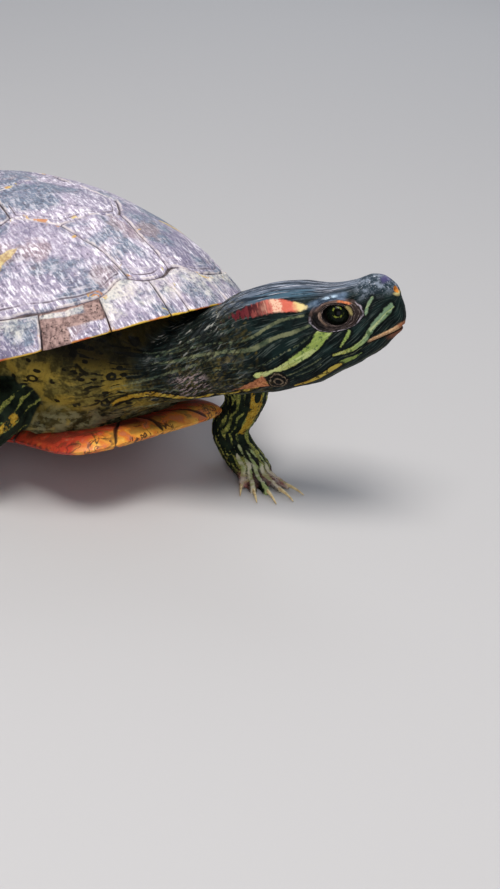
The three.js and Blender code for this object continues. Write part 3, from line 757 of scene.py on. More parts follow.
class Tube:
    """A body swept through stations, which can tell how far along and how far round a point of it lies."""

    def __init__(self, stations, rows, around, floor=False):
        s = np.array(stations, float)
        t = np.linspace(0, 1, rows)
        rows_at = through(s, t)
        centre, side, reach, roundness = rows_at[:, :3], rows_at[:, 3:6], rows_at[:, 6:9], rows_at[:, 9:10]
        if np.abs(s[:, 10:]).sum() > 0:
            ahead = unit(rows_at[:, 10:])
        else:
            after, before = (through(s[:, :3], t + small) for small in (1e-3, -1e-3))
            ahead = unit(after - before)
        side = unit(side - ahead * (side * ahead).sum(-1, keepdims=True))
        up = np.cross(ahead, side)
        u = TAU * np.arange(around) / around
        across = power(np.cos(u)[None], roundness) * reach[:, :1]
        tall = power(np.sin(u)[None], roundness) * np.where(np.sin(u)[None] > 0, reach[:, 1:2], reach[:, 2:])
        grid = centre[:, None] + side[:, None] * across[..., None] + up[:, None] * tall[..., None]
        self.grid = grid if floor else on_floor(grid)
        self.run = run_along(centre)
        self.girth = reach.mean(1)

    def body(self):
        return ball(self.grid)

    def locate(self, points):
        """For each point: distance to the tube's skin, run along it, angle round it and mean half width."""
        rows, around = self.grid.shape[:2]
        flat = self.grid.reshape(-1, 3)
        tree = KDTree(len(flat))
        for i, p in enumerate(flat):
            tree.insert(p, i)
        tree.balance()
        found = np.array([tree.find(p)[1:] for p in points])
        index, away = found[:, 0].astype(int), found[:, 1]
        i, j = index // around, index % around
        offset = points - flat[index]

        def steps(edge):
            """How many grid steps a point lies off its nearest one, along one edge of the grid there."""
            return np.clip((offset * edge).sum(-1) / np.maximum((edge**2).sum(-1), 1e-9), -0.7, 0.7)

        place = np.clip(i + steps(np.gradient(self.grid, axis=0)[i, j]), 0, rows - 1)
        round_it = ((np.roll(self.grid, -1, axis=1) - np.roll(self.grid, 1, axis=1)) / 2)[i, j]
        run, girth = (np.interp(place, np.arange(rows), known) for known in (self.run, self.girth))
        return away, run, (j + steps(round_it)) * TAU / around, girth


# ---------------------------------------------------------------- limbs and tail
TOES = 5
FORE_FOOT = {"spread": 27, "length": 11.5, "thick": 2.3, "claw": 7.5, "clawed": 5,
             "shares": (0.55, 0.86, 1, 1, 0.86)}
HIND_FOOT = {"spread": 38, "length": 17, "thick": 2.6, "claw": 6.5, "clawed": 4,
             "shares": (0.84, 0.96, 1, 0.96, 0.84)}
SLIM = 0.74
# Stations of each limb as x, y, z, half width and half height above and below: first in the shell's axes,
# then in the floor's. A mirror of -1 puts the limb on the right side.
LIMBS = {
    "foreleg_left": {
        "mirror": 1,
        "yaw": -20,
        "shell": [[52, 33, 20, 9, 9, 9], [70, 41, 18, 9, 9, 9], [82.5, 46, 11, 8, 8, 8],
                  [80, 46, 1, 7, 7, 7], [74.5, 45, -7, 6.8, 6.8, 6.8]],
        "floor": [[156.5, 45, 6.8, 7, 5.2, 5.8], [163.5, 44, 4.4, 7.8, 3.8, 4.8],
                  [170, 41.8, 3.4, 7.4, 2.8, 3.8]],
        "foot": FORE_FOOT,
    },
    "foreleg_right": {
        "mirror": -1,
        "yaw": 62,
        "shell": [[52, 33, 19, 9, 9, 9], [55, 48, 13, 9, 9, 9], [51, 66, 3, 8.4, 8, 8]],
        "floor": [[123, 74, 13.5, 7.6, 6.8, 6.8], [123.5, 78, 6.2, 8, 5, 5.4],
                  [125.5, 84.5, 3.8, 8.4, 3.4, 4.2], [128.5, 89.5, 3.2, 7.6, 2.6, 3.6]],
        "foot": FORE_FOOT,
    },
    "hindleg_left": {
        "mirror": 1,
        "yaw": 128,
        "shell": [[-46, 34, 18, 12, 11, 11], [-58, 52, 14, 12, 11, 11], [-62, 68, 7, 10.5, 9, 9]],
        "floor": [[9, 76, 7.4, 9.6, 6.4, 6.8], [2, 84, 4.4, 10, 4, 4.8], [-4, 92, 3.4, 9.4, 3, 3.8]],
        "foot": HIND_FOOT,
    },
    "hindleg_right": {
        "mirror": -1,
        "yaw": 138,
        "shell": [[-46, 34, 18, 12, 11, 11], [-58, 52, 14, 12, 11, 11], [-64, 67, 7, 10.5, 9, 9]],
        "floor": [[5, 74, 7.4, 9.6, 6.4, 6.8], [-4, 81, 4.4, 10, 4, 4.8], [-12, 87.5, 3.4, 9.4, 3, 3.8]],
        "foot": HIND_FOOT,
    },
}


def limb_stations(limb):
    mirror = limb["mirror"]
    side = flat_side(limb["yaw"] * mirror)
    made = []
    for key in ("shell", "floor"):
        for x, y, z, wide, up, down in limb[key]:
            at = np.array([x, y * mirror, z], float)
            made.append(station(on_floor(at) if key == "shell" else at, side, wide, up, down))
    return np.array(made)


def floor_place(limb, which):
    """Where one of a limb's last stations stands in plan."""
    x, y = limb["floor"][which][:2]
    return np.array([x, y * limb["mirror"]])


def toes_of(limb):
    """Root, heading and length of each toe of a limb's foot, and whether it has a claw."""
    foot, mirror = limb["foot"], limb["mirror"]
    palm = np.append(floor_place(limb, -1), 0.0)
    yaw = limb["yaw"] * mirror
    for i in range(TOES):
        off = -1 + 2 * i / (TOES - 1)
        root = palm + flat_side(yaw) * off * foot["thick"] * 2.1
        share = foot["shares"][i if mirror > 0 else -1 - i]
        yield root, yaw + off * foot["spread"], foot["length"] * share, i < foot["clawed"]


def toe_stations(root, yaw, length, thick):
    """A finger with two joints, thicker at the knuckles and blunt where its claw starts."""
    made = []
    profile = [(-4, 1.0, 0.6), (0.18, 1.02, 0.25), (0.42, 0.86, -0.15), (0.62, 0.98, -0.15),
               (0.84, 0.82, -0.3), (1.02, 0.8, -0.35), (1.12, 0.55, -0.4)]
    for share, swell, lift in profile:
        x = share if share < 0 else share * length
        half = thick * swell
        made.append(station(root + heading(yaw) * x + [0, 0, half + lift], flat_side(yaw), half, half, half))
    return made


def web_body(limb):
    """The skin between a foot's toes: a thin fan that sags between them."""
    foot, yaw = limb["foot"], limb["yaw"] * limb["mirror"]
    shares = np.linspace(-1, 1, 33)
    reach = foot["length"] * 0.6 * (1 - 0.34 * np.sin(math.pi * (shares + 1) / 2 * (TOES - 1)) ** 2)
    angles = rad(foot["spread"]) * shares
    rim = np.stack([reach * np.cos(angles), reach * np.sin(angles)], -1)
    turn = np.array([heading(yaw)[:2], flat_side(yaw)[:2]])
    loop = np.vstack([[[-4, 0]], rim]) @ turn + floor_place(limb, -1)
    rings = [np.column_stack([loop, np.full(len(loop), z)]) for z in (2.7, 1.0)]
    return ball(np.array(rings))


TAIL = np.array([
    station(on_floor([-66, 0, 16]), LEFT, 9, 7, 7),
    station(on_floor([-86, 1, 13]), LEFT, 7.5, 6.5, 6),
    station([-27, 4, 8.5], LEFT, 5.4, 5, 5),
    station([-40, 10, 4.4], flat_side(-40), 3.6, 3.4, 3.8),
    station([-50, 19, 2.2], flat_side(-50), 2, 2, 2.6),
    station([-57, 28, 0.8], flat_side(-52), 0.8, 0.8, 1.2),
])


def plastron_reach(angle):
    corner = np.array(PLASTRON_OUTLINE, float)
    return np.interp(-np.cos(angle), -np.cos(np.arctan2(corner[:, 1], corner[:, 0])), np.hypot(*corner.T))


TRUNK_INSET = 5


def trunk_body(around=80):
    """The flesh inside the shell, which bulges a little from the pockets round the neck and limbs."""
    t = np.linspace(-math.pi, math.pi, around + 1)[:-1]
    ox, oy = outline(t)

    def under_dome(rho):
        return inner_dome(rho, t, TRUNK_INSET) - [0, 0, 1]

    angle = np.arctan2(oy, ox)
    reach = np.minimum(plastron_reach(angle) * 0.9, BRIDGE_INNER + 40 * np.cos(t) ** 4)

    def on_plastron(share):
        x, y = reach * share * np.cos(angle), reach * share * np.sin(angle)
        return np.stack([x, y, plastron_lift(x, y) + PLASTRON_THICKNESS + 3], -1)

    grid = [under_dome(rho) for rho in np.linspace(0.05, 0.86, 14)]
    for k in np.linspace(0, 1, 12)[1:]:
        bulge = 1 + 0.12 * np.sin(math.pi * k) * np.abs(np.cos(t)) ** 2
        swell = np.stack([bulge, bulge, np.ones_like(bulge)], -1)
        grid.append((under_dome(0.86) * (1 - k) + on_plastron(1) * k) * swell)
    grid.extend(on_plastron(share) for share in (0.8, 0.5, 0.2))
    return ball(on_floor(np.array(grid)))


def roll(path, half):
    """A round roll of skin along a path."""
    return Tube([station(at, (0, 0, 1), half, half, half) for at in path], 90, 30).body()


def throat_roll():
    """The soft roll of skin that lies on the plastron in front, under the neck."""
    path = [(46, -38, 10.5), (60, -33, 10.6), (68.5, -22, 11), (72, -8, 11.6), (72, 8, 11.6),
            (69.5, 21, 11.2), (62, 32, 10.8), (48, 38, 10.5)]
    return roll(path, 5.2)


def nape_fold():
    """The fold of skin that closes the gap between the neck and the rim over it."""
    path = [(56, -38, 29), (72, -26, 36), (82, -9, 41), (85, 8, 42.4), (83.5, 24, 41.4), (77, 38, 36.5),
            (64, 50, 29)]
    return roll(path, 5.6)


# ---------------------------------------------------------------- the one skin
VOXEL = 0.95
# About how many of the points out of sight are kept.
KEPT_HIDDEN = 2500


def applied(piece):
    """The piece's mesh with its modifiers applied and taken off."""
    graph = bpy.context.evaluated_depsgraph_get()
    mesh = bpy.data.meshes.new_from_object(piece.evaluated_get(graph), depsgraph=graph)
    piece.modifiers.clear()
    old, piece.data = piece.data, mesh
    bpy.data.meshes.remove(old)
    return piece


def read(mesh, what):
    """The places (co) or normals (normal) of a mesh's points, as Blender has them."""
    flat = np.empty(len(mesh.vertices) * 3)
    mesh.vertices.foreach_get(what, flat)
    return flat.reshape(-1, 3)


def points_of(mesh):
    return read(mesh, "co") / MM


def set_points(mesh, points):
    mesh.vertices.foreach_set("co", (points * MM).ravel())
    mesh.update()


def relaxed(mesh, points, share, times):
    """Points moved towards the mean of their neighbours, each by its own share."""
    edges = np.empty(len(mesh.edges) * 2, int)
    mesh.edges.foreach_get("vertices", edges)
    a, b = edges.reshape(-1, 2).T
    count = np.bincount(a, minlength=len(points)) + np.bincount(b, minlength=len(points))
    for _ in range(times):
        total = np.empty_like(points)
        for k in range(3):
            total[:, k] = np.bincount(a, points[b, k], len(points)) + np.bincount(b, points[a, k], len(points))
        mean = total / np.maximum(count, 1)[:, None]
        points = points + (mean - points) * np.reshape(share, (-1, 1))
    return points


def out_of_sight(p):
    """Whether the closed shell hides the flesh at each point from everywhere."""
    q = shell_frame(p)
    rho, t, roof = roof_over(q)
    z = q[:, 2]
    inside = (z > 4) & (z < roof - 2) & (rho < 0.97)
    return ((rho < 0.74) | (np.abs(np.cos(t)) < 0.38)) & inside


def refine(mesh, chosen):
    """Splits the faces whose middle is chosen, in four."""
    bm = bmesh.new()
    bm.from_mesh(mesh)
    middles = np.array([f.calc_center_median() for f in bm.faces]) / MM
    pick = chosen(middles)
    edges = {e for f, take in zip(bm.faces, pick) if take for e in f.edges}
    bmesh.ops.subdivide_edges(bm, edges=list(edges), cuts=1, use_grid_fill=True)
    bmesh.ops.triangulate(bm, faces=[f for f in bm.faces if len(f.verts) > 4])
    bm.to_mesh(mesh)
    bm.free()
    mesh.update()


EYE_AT = np.array([-1.2, 6.9, -0.2])
EYE_OPENING = (4.3, 3.35, 30)
EYE_LIDS = (8.7, 5.3, 14)
MOUTH_CORNER_X = 0.2


def oval_radius(turn, length, height, drop):
    """The reach of an oval in one direction, its long axis dropping forward by some degrees."""
    return 1 / np.hypot(np.cos(turn + rad(drop)) / length, np.sin(turn + rad(drop)) / height)


def lid_share(h):
    """How far out over the lids a point lies, 0 at their opening and 1 where they end, and its direction."""
    x, z = h[:, 0] - EYE_AT[0], h[:, 2] - EYE_AT[2]
    turn = np.arctan2(z, x)
    opening, end = oval_radius(turn, *EYE_OPENING), oval_radius(turn, *EYE_LIDS)
    return (np.hypot(x, z) - opening) / (end - opening), turn


def mouth_height(x):
    """Height of the line between the jaws, which drops towards the corner."""
    return -13.15 - 1.65 * step(7, -1.5, x) + 0.25 * step(13, 17, x)


def jaw_distance(h):
    """Height over the mouth's line, and how much of a mouth there is at that point."""
    away = h[:, 2] - mouth_height(h[:, 0])
    return away, step(MOUTH_CORNER_X - 1.2, MOUTH_CORNER_X + 1.2, h[:, 0])


def sculpt_head(p, normal):
    """Eyelids, brow, jaws, nostrils and the drum of the ear, cut into the plain head."""
    h = from_head(p)
    n = unit(from_head(p + normal) - h)
    x, y, z = h.T
    side = np.sign(y)
    near_head = x > -30
    away, mouth = jaw_distance(h)
    push = -0.75 * mouth * ridge(away, 0, 0.42)
    push += 0.32 * mouth * ridge(away, 0.95, 0.6) * step(2, 6, x)
    push -= 0.45 * mouth * step(0.1, -0.6, away) * step(-7, -2, away)
    push -= 0.7 * ridge(x, 18.4, 2) * ridge(away, 0.7, 1.3)
    for left in (1, -1):
        from_nostril = np.hypot(y - 2.35 * left, z + 0.1) + 3 * (x < 15)
        push -= 1.3 * ridge(from_nostril, 0, 0.72)
        push += 0.22 * ridge(from_nostril, 1.5, 0.45)
    drum = np.hypot((x + 17.5) / 1.15, z + 5.5)
    push += 0.1 * ridge(drum, 4.6, 0.9) - 0.2 * step(4.6, 2, drum) + 0.1 * wobble(h, 5, 63, 2)
    brow = np.hypot((x - 1.5) / 5.5, (np.abs(y) - 7.2) / 2.6)
    push += 0.75 * ridge(brow, 0, 1) * (z > 2)
    snout_dip = np.hypot((x - 8.5) / 4, y / 3)
    push -= 0.4 * ridge(snout_dip, 0, 1) * (z > 2)
    push += 0.1 * wobble(h, 3.4, 61, 2) * step(-30, -12, x)
    h = h + n * (push * near_head)[:, None]
    x, y = h[:, 0], h[:, 1]
    aside = np.abs(y)
    share, turn = lid_share(h)
    lateral = near_head & (aside > 3.5) & (side * n[:, 1] > 0.05)
    knots = [-1.0, -0.36, -0.17, -0.05, 0.05, 0.2, 0.5, 0.8, 1.0]
    lid = np.interp(share, knots, [7.2, 7.8, 8.9, 10.4, 11.3, 11.65, 11.6, 11.35, 11.1])
    lid = lid - 0.17 * np.maximum(x - 1, 0)
    blend = 1 - step(0.5, 1.12, share)
    upper = step(-0.5, 0.3, np.sin(turn))
    uneven = share + 0.12 * wobble(h, 3.5, 62, 2)
    folds = 0.42 * ridge(uneven, 0.15, 0.1) - 0.34 * ridge(uneven, 0.36, 0.08)
    folds += (0.15 + 0.25 * upper) * ridge(uneven, 0.54, 0.09) - 0.3 * upper * ridge(uneven, 0.71, 0.07)
    folds += 0.34 * ridge(uneven, 0.93, 0.08) - 0.3 * ridge(uneven, 1.1, 0.08)
    lid = np.maximum(lid, np.where(share > 0.02, aside, 0))
    wider = aside + (lid - aside) * blend + folds * (share > -0.1)
    h[:, 1] = np.where(lateral & (share < 1.5), side * wider, y)
    return in_head(h)


def flesh():
    """The skin's mesh, and the tubes that tell where each point of it lies."""
    tubes = {"neck": Tube(neck_and_head_stations(), 220, 120), "tail": Tube(TAIL, 110, 48, floor=True)}
    bodies = [trunk_body(), throat_roll(), nape_fold()]
    for name, limb in LIMBS.items():
        tubes[name] = Tube(limb_stations(limb), 120, 72, floor=True)
        bodies.append(web_body(limb))
        for root, yaw, length, _ in toes_of(limb):
            toe = toe_stations(root, yaw, length, limb["foot"]["thick"] * SLIM)
            bodies.append(Tube(toe, 40, 18, floor=True).body())
    bodies.extend(tube.body() for tube in tubes.values())
    piece = make_piece("turtle_skin", *joined(bodies), bpy.data.materials.new("raw"))
    remesh = piece.modifiers.new("join", "REMESH")
    remesh.mode = "VOXEL"
    remesh.voxel_size = VOXEL * MM
    applied(piece)
    mesh = piece.data
    points = relaxed(mesh, points_of(mesh), 0.5, 4)
    soft = step(7, 12, points[:, 2]) * step(-16, -24, from_head(points)[:, 0])
    points = relaxed(mesh, points, 0.5 * soft, 10)
    set_points(mesh, points)
    unseen = out_of_sight(points)
    piece.vertex_groups.new(name="hidden").add(np.flatnonzero(unseen).tolist(), 1, "REPLACE")
    visible = int((~unseen).sum())
    thin = piece.modifiers.new("thin", "DECIMATE")
    thin.vertex_group = "hidden"
    thin.vertex_group_factor = 10
    thin.ratio = min(1, (visible + KEPT_HIDDEN) / len(points))
    applied(piece)
    piece.vertex_groups.clear()
    mesh = piece.data
    refine(mesh, lambda m: (from_head(m)[:, 0] > -13) & (from_head(m)[:, 2] > -24))

    def fine(m):
        h = from_head(m)
        away, mouth = jaw_distance(h)
        snout = (h[:, 0] > 16) & (np.abs(h[:, 2] + 0.1) < 2.6)
        lids = (lid_share(h)[0] < 1.25) & (np.abs(h[:, 1]) > 4)
        return lids | ((np.abs(away) < 1.5) & (mouth > 0.1)) | snout

    refine(mesh, fine)
    points = points_of(mesh)
    h = from_head(points)
    points = relaxed(mesh, points, 0.5 * step(-16, -10, h[:, 0]), 6)
    set_points(mesh, points)
    set_points(mesh, sculpt_head(points, read(mesh, "normal")))
    points = relaxed(mesh, points_of(mesh), 0.35 * step(-16, -10, h[:, 0]), 1)
    points[:, 2] = np.maximum(points[:, 2], FLOOR_GAP)
    set_points(mesh, points)
    return piece, tubes


# ---------------------------------------------------------------- markings of the flesh
# Lines on the neck and head, each given by places on it: run along the neck, height round its side in degrees
# (90 over the crown, -90 under the throat) and half the line's width. Both sides carry the same ones.
RED = [[(61, 42, 0.4), (65, 41, 1.4), (70, 40, 2.4), (75, 41, 2.8), (80, 41, 2.6), (85, 37, 2),
        (88.5, 34, 1.3), (90.6, 33, 0.5)]]
LIME = [
    [(95.5, 6, 1.5), (92, 0, 1.7), (88, -9, 1.7), (82, -17, 1.5), (76, -25, 1.1), (71, -28, 0.9),
     (66, -29, 1.2)],
    [(116.7, -1.5, 0.5), (115, -5, 0.9), (112.6, -9.5, 0.9), (109.3, -13, 0.9), (106.4, -20, 0.8),
     (103.7, -27, 0.8), (99, -31, 0.9), (93.5, -29, 0.5)],
    [(101, -6, 0.45), (98.8, -13, 0.5), (96.5, -20, 0.3)],
    [(111.8, 19, 0.4), (109.6, 11, 0.5), (108, 3, 0.3)],
    [(101.5, -50, 0.3), (98.5, -49, 1), (94.6, -48.5, 1.3)],
]
GOLD = [
    [(93.4, -51, 0.9), (91, -52, 1.3), (87, -55, 1.3), (81.4, -60, 1.1), (76, -66, 0.8)],
    [(70, -43, 0.5), (66, -45, 0.8), (59.5, -56, 0.9), (50, -62, 0.8), (42, -52, 0.8), (38, -40, 1),
     (32, -27, 1.25), (25, -31, 0.7), (18, -40, 0.3)],
]
PALE = [
    [(90.5, 13, 0.4), (83, 9, 0.65), (77.5, 7, 0.6), (71.5, 3, 0.75), (66, 2, 0.6), (58.6, 7, 0.5),
     (51.6, 12, 0.6), (43, 14, 0.6), (36, 18, 0.4)],
    [(89, 24, 0.4), (82, 23, 0.6), (76, 18, 0.55), (70, 12, 0.5), (64, 12, 0.3), (56.6, 20, 0.35),
     (48, 26, 0.4), (38, 27, 0.4)],
    [(91, 5, 0.2), (84, -2, 0.3), (76.3, -10, 0.3), (68.6, -17, 0.3), (61, -14, 0.3), (52, -8, 0.35),
     (44, -6, 0.3)],
    [(89, -26, 0.3), (83, -31, 0.4), (77, -37, 0.35), (70, -38, 0.3)],
    [(88, -35, 0.3), (81, -40, 0.35), (75, -46, 0.3)],
    [(94, 48, 0.15), (86, 55, 0.3), (78, 64, 0.3), (71, 68, 0.25), (62, 60, 0.2), (54, 52, 0.25)],
    [(97, 60, 0.15), (88, 72, 0.25), (78, 78, 0.2)],
    [(62, 10, 0.3), (51.6, 3, 0.4), (42, 0, 0.5), (34, -4, 0.5), (25, -8, 0.4), (19, -6, 0.3)],
    [(63, -31, 0.4), (49.6, -39, 0.5), (43.8, -38, 0.4), (38.3, -24, 0.5), (30, -16, 0.5), (22, -18, 0.4)],
    [(58, 34, 0.3), (50, 36, 0.35), (42, 32, 0.4), (32, 36, 0.4)],
    [(64, -62, 0.4), (56, -70, 0.4), (48, -76, 0.5), (36, -62, 0.5), (26, -55, 0.6), (14, -66, 0.6)],
    [(66, -80, 0.35), (54, -84, 0.4), (40, -80, 0.5), (22, -78, 0.5)],
    [(113, -30, 0.15), (108, -36, 0.25), (102, -40, 0.3), (96, -38, 0.2)],
    [(116, -50, 0.15), (110, -66, 0.3), (102, -72, 0.4), (92, -70, 0.4), (80, -78, 0.4)],
]


def line_cover(run, height, girth, lines):
    """Distance inside the nearest of the lines, in millimetres: positive on it and negative off it."""
    best = np.full(len(run), OFF_LINE)
    for line in lines:
        line = np.array(line, float)
        near = (run > line[:, 0].min() - 6) & (run < line[:, 0].max() + 6)
        places = through(line, np.linspace(0, 1, 14 * len(line)))
        r, h, g = run[near], height[near], girth[near]
        value = np.full(len(r), OFF_LINE)
        for at, level, half in places:
            value = np.maximum(value, half - np.hypot(r - at, (h - level) * rad(1) * g))
        best[near] = np.maximum(best[near], value)
    return best


def limb_lines(run, angle, girth, place, seed):
    """Uneven lengthwise lines of a limb or the tail."""
    best = np.full(len(run), OFF_LINE)
    sway = 0.16 * wobble(place, 16, seed, 2) + 0.12 * wobble(place, 5, seed + 9, 2)
    for i, at in enumerate((8, 34, 60, 92, 116, 138, 160, 180, 204, 232, 262, 300, 334)):
        off = np.abs(wrapped(angle - rad(at) + sway)) * girth
        half = 0.2 + 0.2 * (i % 3) + 0.6 * wobble(place + 31 * i, 5, seed, 2)
        best = np.maximum(best, half - off)
    return best


# A foreleg's golden front: its middle in degrees round the limb, half width in radians, start and end.
GOLDEN_FRONTS = {"foreleg_left": (84, 0.42, 20, 56), "foreleg_right": (20, 0.5, 13, 20)}


TOE_PINK = (1, 0.35, 0, 0.6, 1)


def nearness(away):
    """1 on a tube's skin, fading to 0 with the distance from it."""
    return np.exp(-np.maximum(away - 0.3, 0) / 0.9)


def limb_values(p, found, weight, limb_weight):
    """How far inside a line of a limb or the tail each point lies, and how much on a golden front."""
    stripe = np.full(len(p), OFF_LINE)
    front = np.zeros(len(p))
    for seed, name in enumerate([*LIMBS, "tail"]):
        a, r, u, g = found[name]
        mine = (weight[name] >= limb_weight - 1e-6) & (a < 6)
        stripe = np.where(mine, limb_lines(r, u, g, p, 500 + seed), stripe)
        middle, wide, starts, ends = GOLDEN_FRONTS.get(name, (62, 0.5, 0, 60))
        wide = wide * (1 - 0.5 * step(ends - 20, ends, r))
        facing = ridge(wrapped(u - rad(middle)), 0, wide)
        facing = facing - 1.4 * np.exp(-(np.hypot(r - starts - 17.5, (u - rad(middle)) * g) / 1.25) ** 4)
        facing = facing * step(starts - 2, starts + 2, r) * step(ends + 8, ends - 6, r)
        front = np.where(mine & (name != "tail"), facing, front)
    return stripe, front


def foot_values(p):
    """How far inside a line of the toes each point lies, how pink it is, and whether it is on a foot."""
    plan, z = p[:, :2], p[:, 2]
    digit, pink, foot = np.full(len(p), OFF_LINE), np.zeros(len(p)), np.zeros(len(p))
    for limb in LIMBS.values():
        palm, wrist = floor_place(limb, -1), floor_place(limb, -3)
        reach = limb["foot"]["length"] + 4
        foot = np.maximum(foot, step(reach + 2, reach, np.linalg.norm(plan - palm, axis=1)) * (z < 9))
        for i, (root, yaw, length, _) in enumerate(toes_of(limb)):
            ahead = heading(yaw)[:2]
            off = plan - root[:2]
            along = np.clip(off @ ahead, 0, length + 1)
            gap = np.linalg.norm(off - along[:, None] * ahead, axis=1)
            digit = np.maximum(digit, np.where(z < 9, 0.8 - gap, OFF_LINE))
            heel = wrist * 0.7 + palm * 0.3 + (root[:2] - palm) * 0.8
            back = root[:2] - heel
            share = np.clip((plan - heel) @ back / (back @ back), 0, 1)
            on_hand = np.linalg.norm(plan - heel - share[:, None] * back, axis=1)
            width = 0.2 + 0.45 * share + 0.45 * wobble(p, 4, 640 + i, 1)
            digit = np.maximum(digit, np.where((z < 15) & (z > 3), width - on_hand, OFF_LINE))
            pink = np.maximum(pink, TOE_PINK[i] * step(3, 1.6, gap) * step(-1, 4, along) * (z < 8))
    return digit, pink, foot


def flesh_values(p, tubes):
    """The numbers that the skin's finish reads: where its lines, patches, lids and jaws are."""
    h = from_head(p)
    ahead, aside, above = h[:, 0], np.abs(h[:, 1]), h[:, 2]
    found, weight = {}, {}
    for name, tube in tubes.items():
        low, high = tube.grid.reshape(-1, 3).min(0) - 5, tube.grid.reshape(-1, 3).max(0) + 5
        near = np.all((p > low) & (p < high), axis=1)
        numbers = [np.full(len(p), far) for far in (30.0, 0.0, 0.0, 1.0)]
        for whole, part in zip(numbers, tube.locate(p[near])):
            whole[near] = part
        found[name] = numbers
        weight[name] = nearness(numbers[0])
    limb_weight = np.maximum.reduce([weight[name] for name in LIMBS] + [weight["tail"]])
    away, run, angle, girth = found["neck"]
    height = np.degrees(np.arctan2(np.sin(angle), np.abs(np.cos(angle))))
    in_limb = limb_weight * (weight["neck"] < limb_weight)
    on_neck = np.where(ahead > -30, 1, weight["neck"]) * (1 - in_limb * (run < 30))
    is_neck = on_neck > 0.4
    values = {"run": run, "height": height / 90}
    for key, lines in (("red", RED), ("lime", LIME), ("gold", GOLD), ("pale", PALE)):
        values[key] = np.where(is_neck, line_cover(run, height, girth, lines), OFF_LINE)
    loose = step(38, 20, run) * step(62, 30, height) * is_neck + (1 - on_neck) * (1 - limb_weight)
    values["olive"] = np.clip(loose, 0, 1)
    stripe, front = limb_values(p, found, weight, limb_weight)
    digit, pink, foot = foot_values(p)
    limb_weight = np.maximum(limb_weight, foot)
    values["limb"] = np.where(on_neck > 0.5, limb_weight * (run < 30) * (weight["neck"] < 0.5), limb_weight)
    q = shell_frame(p)
    x, y, z = q.T
    rho, _, roof = roof_over(q)
    # Painted shade: deep darkens the skin under the rim, in front under the shell and round the neck's root.
    room = roof - TRUNK_INSET - z
    at_rim = step(12, 1, room) * step(0.78, 0.9, rho)
    in_front = step(30, 15, room) * step(52, 74, x) * step(1.05, 0.98, rho)
    root = 0.75 * step(46, 30, run) * step(-14, 16, height) * step(10, 22, run) * is_neck
    values["deep"] = np.maximum.reduce([at_rim, in_front, root]) * (ahead < -40)
    values["under"] = step(19, 13, z) * step(38, 52, x) * (1 - limb_weight) * (np.abs(y) < BRIDGE_INNER)
    values.update(pink=pink, stripe=stripe, front=front, digit=digit)
    away, mouth = jaw_distance(h)
    values["bite"] = away
    values["mouth"] = mouth * (ahead > -6)
    share, turn = lid_share(h)
    values["lid"] = np.where((ahead > -16) & (aside > 3), np.minimum(share, 4), 4)
    values.update(lid_up=np.sin(turn), lid_ahead=np.cos(turn), ahead=ahead, aside=aside, above=above)
    return values


def ocellus_distance(run, height):
    """Distance from the dark eye-shaped spot behind the corner of the jaws, in millimetres."""
    return np.hypot(run - 71.5, (height + 43) * 0.25)


def creased(p, normal, values):
    """Wrinkles of the neck, folds of the pockets and the scales of the limbs, raised from the smooth skin."""
    run, height = values["run"], values["height"] * 90
    olive, limb, under = values["olive"], values["limb"], values["under"]
    on_head = step(-34, -24, from_head(p)[:, 0])
    neck = step(14, 30, run) * (1 - on_head) * (1 - limb)
    slant = run + 0.1 * height + 5 * wobble(p, 15, 71, 2)
    rolls = 1 - np.abs(np.sin(slant * 0.36))
    push = neck * (0.45 * wobble(p, 6, 73, 2) - 0.55 * rolls**3 * np.clip(0.5 + wobble(p, 12, 72, 1), 0, 1))
    fold = height * 0.16 + 4 * wobble(p * [0.5, 1, 1], 15, 74, 2)
    push -= 0.9 * olive * (1 - np.abs(np.sin(fold))) ** 4 * (1 - limb)
    push += 0.55 * olive * wobble(p, 6, 75, 2)
    x, y, z = p.T
    crease = z * 1.25 + 1.6 * wobble(p, 9, 77, 2)
    push -= 0.6 * under * (1 - np.abs(np.sin(crease))) ** 3
    push += 0.7 * ridge(ocellus_distance(run, height), 0, 3.6) * (limb < 0.2)
    plan = np.column_stack([x + 0.35 * z, y + 0.8 * z])
    near, second = cells(plan, 2.6, 76)
    scales = step(0.05, 0.9, second - near)
    push += limb * (0.34 * scales - 0.25) * step(0.6, 2.2, z)
    return p + normal * push[:, None]


# ---------------------------------------------------------------- eyes
def eyeball(left):
    """A ball with a slightly bulging cornea, and each point's distance from the line of sight."""
    sight = unit(np.array([0.2, left, 0.14]))
    base = EYE_AT * [1, left, 1]
    side = unit(np.cross(sight, [0, 0, 1.0]))
    up = np.cross(side, sight)
    polar = np.linspace(0.02, math.pi - 0.02, 64)
    around = 72
    u = TAU * np.arange(around) / around
    radius = EYE_RADIUS - CORNEA + CORNEA * ridge(polar, 0, 0.6)
    grid = (
        base
        + sight * (radius * np.cos(polar))[:, None, None]
        + (side * np.cos(u)[:, None] + up * np.sin(u)[:, None])[None] * (radius * np.sin(polar))[:, None, None]
    )
    verts, faces = ball(grid)
    off = (verts - base) @ np.stack([side, up, sight], -1)
    forward = np.where(off[:, 2] > 0, 0, 20)
    values = {"across": off[:, 0], "above": off[:, 1], "axis": np.hypot(off[:, 0], off[:, 1]) + forward}
    return in_head(verts), faces, values


# ---------------------------------------------------------------- finishes
def colour(red, green, blue):
    """A display colour of 0 to 255 as the light it stands for."""
    lights = [c / 255 / 12.92 if c <= 10 else ((c / 255 + 0.055) / 1.055) ** 2.4 for c in (red, green, blue)]
    return (*lights, 1)


def socket_of(sockets, key):
    """A socket by its number, its identifier or its name."""
    if isinstance(key, int):
        return sockets[key]
    return next((s for s in sockets if s.identifier == key), None) or sockets[key]


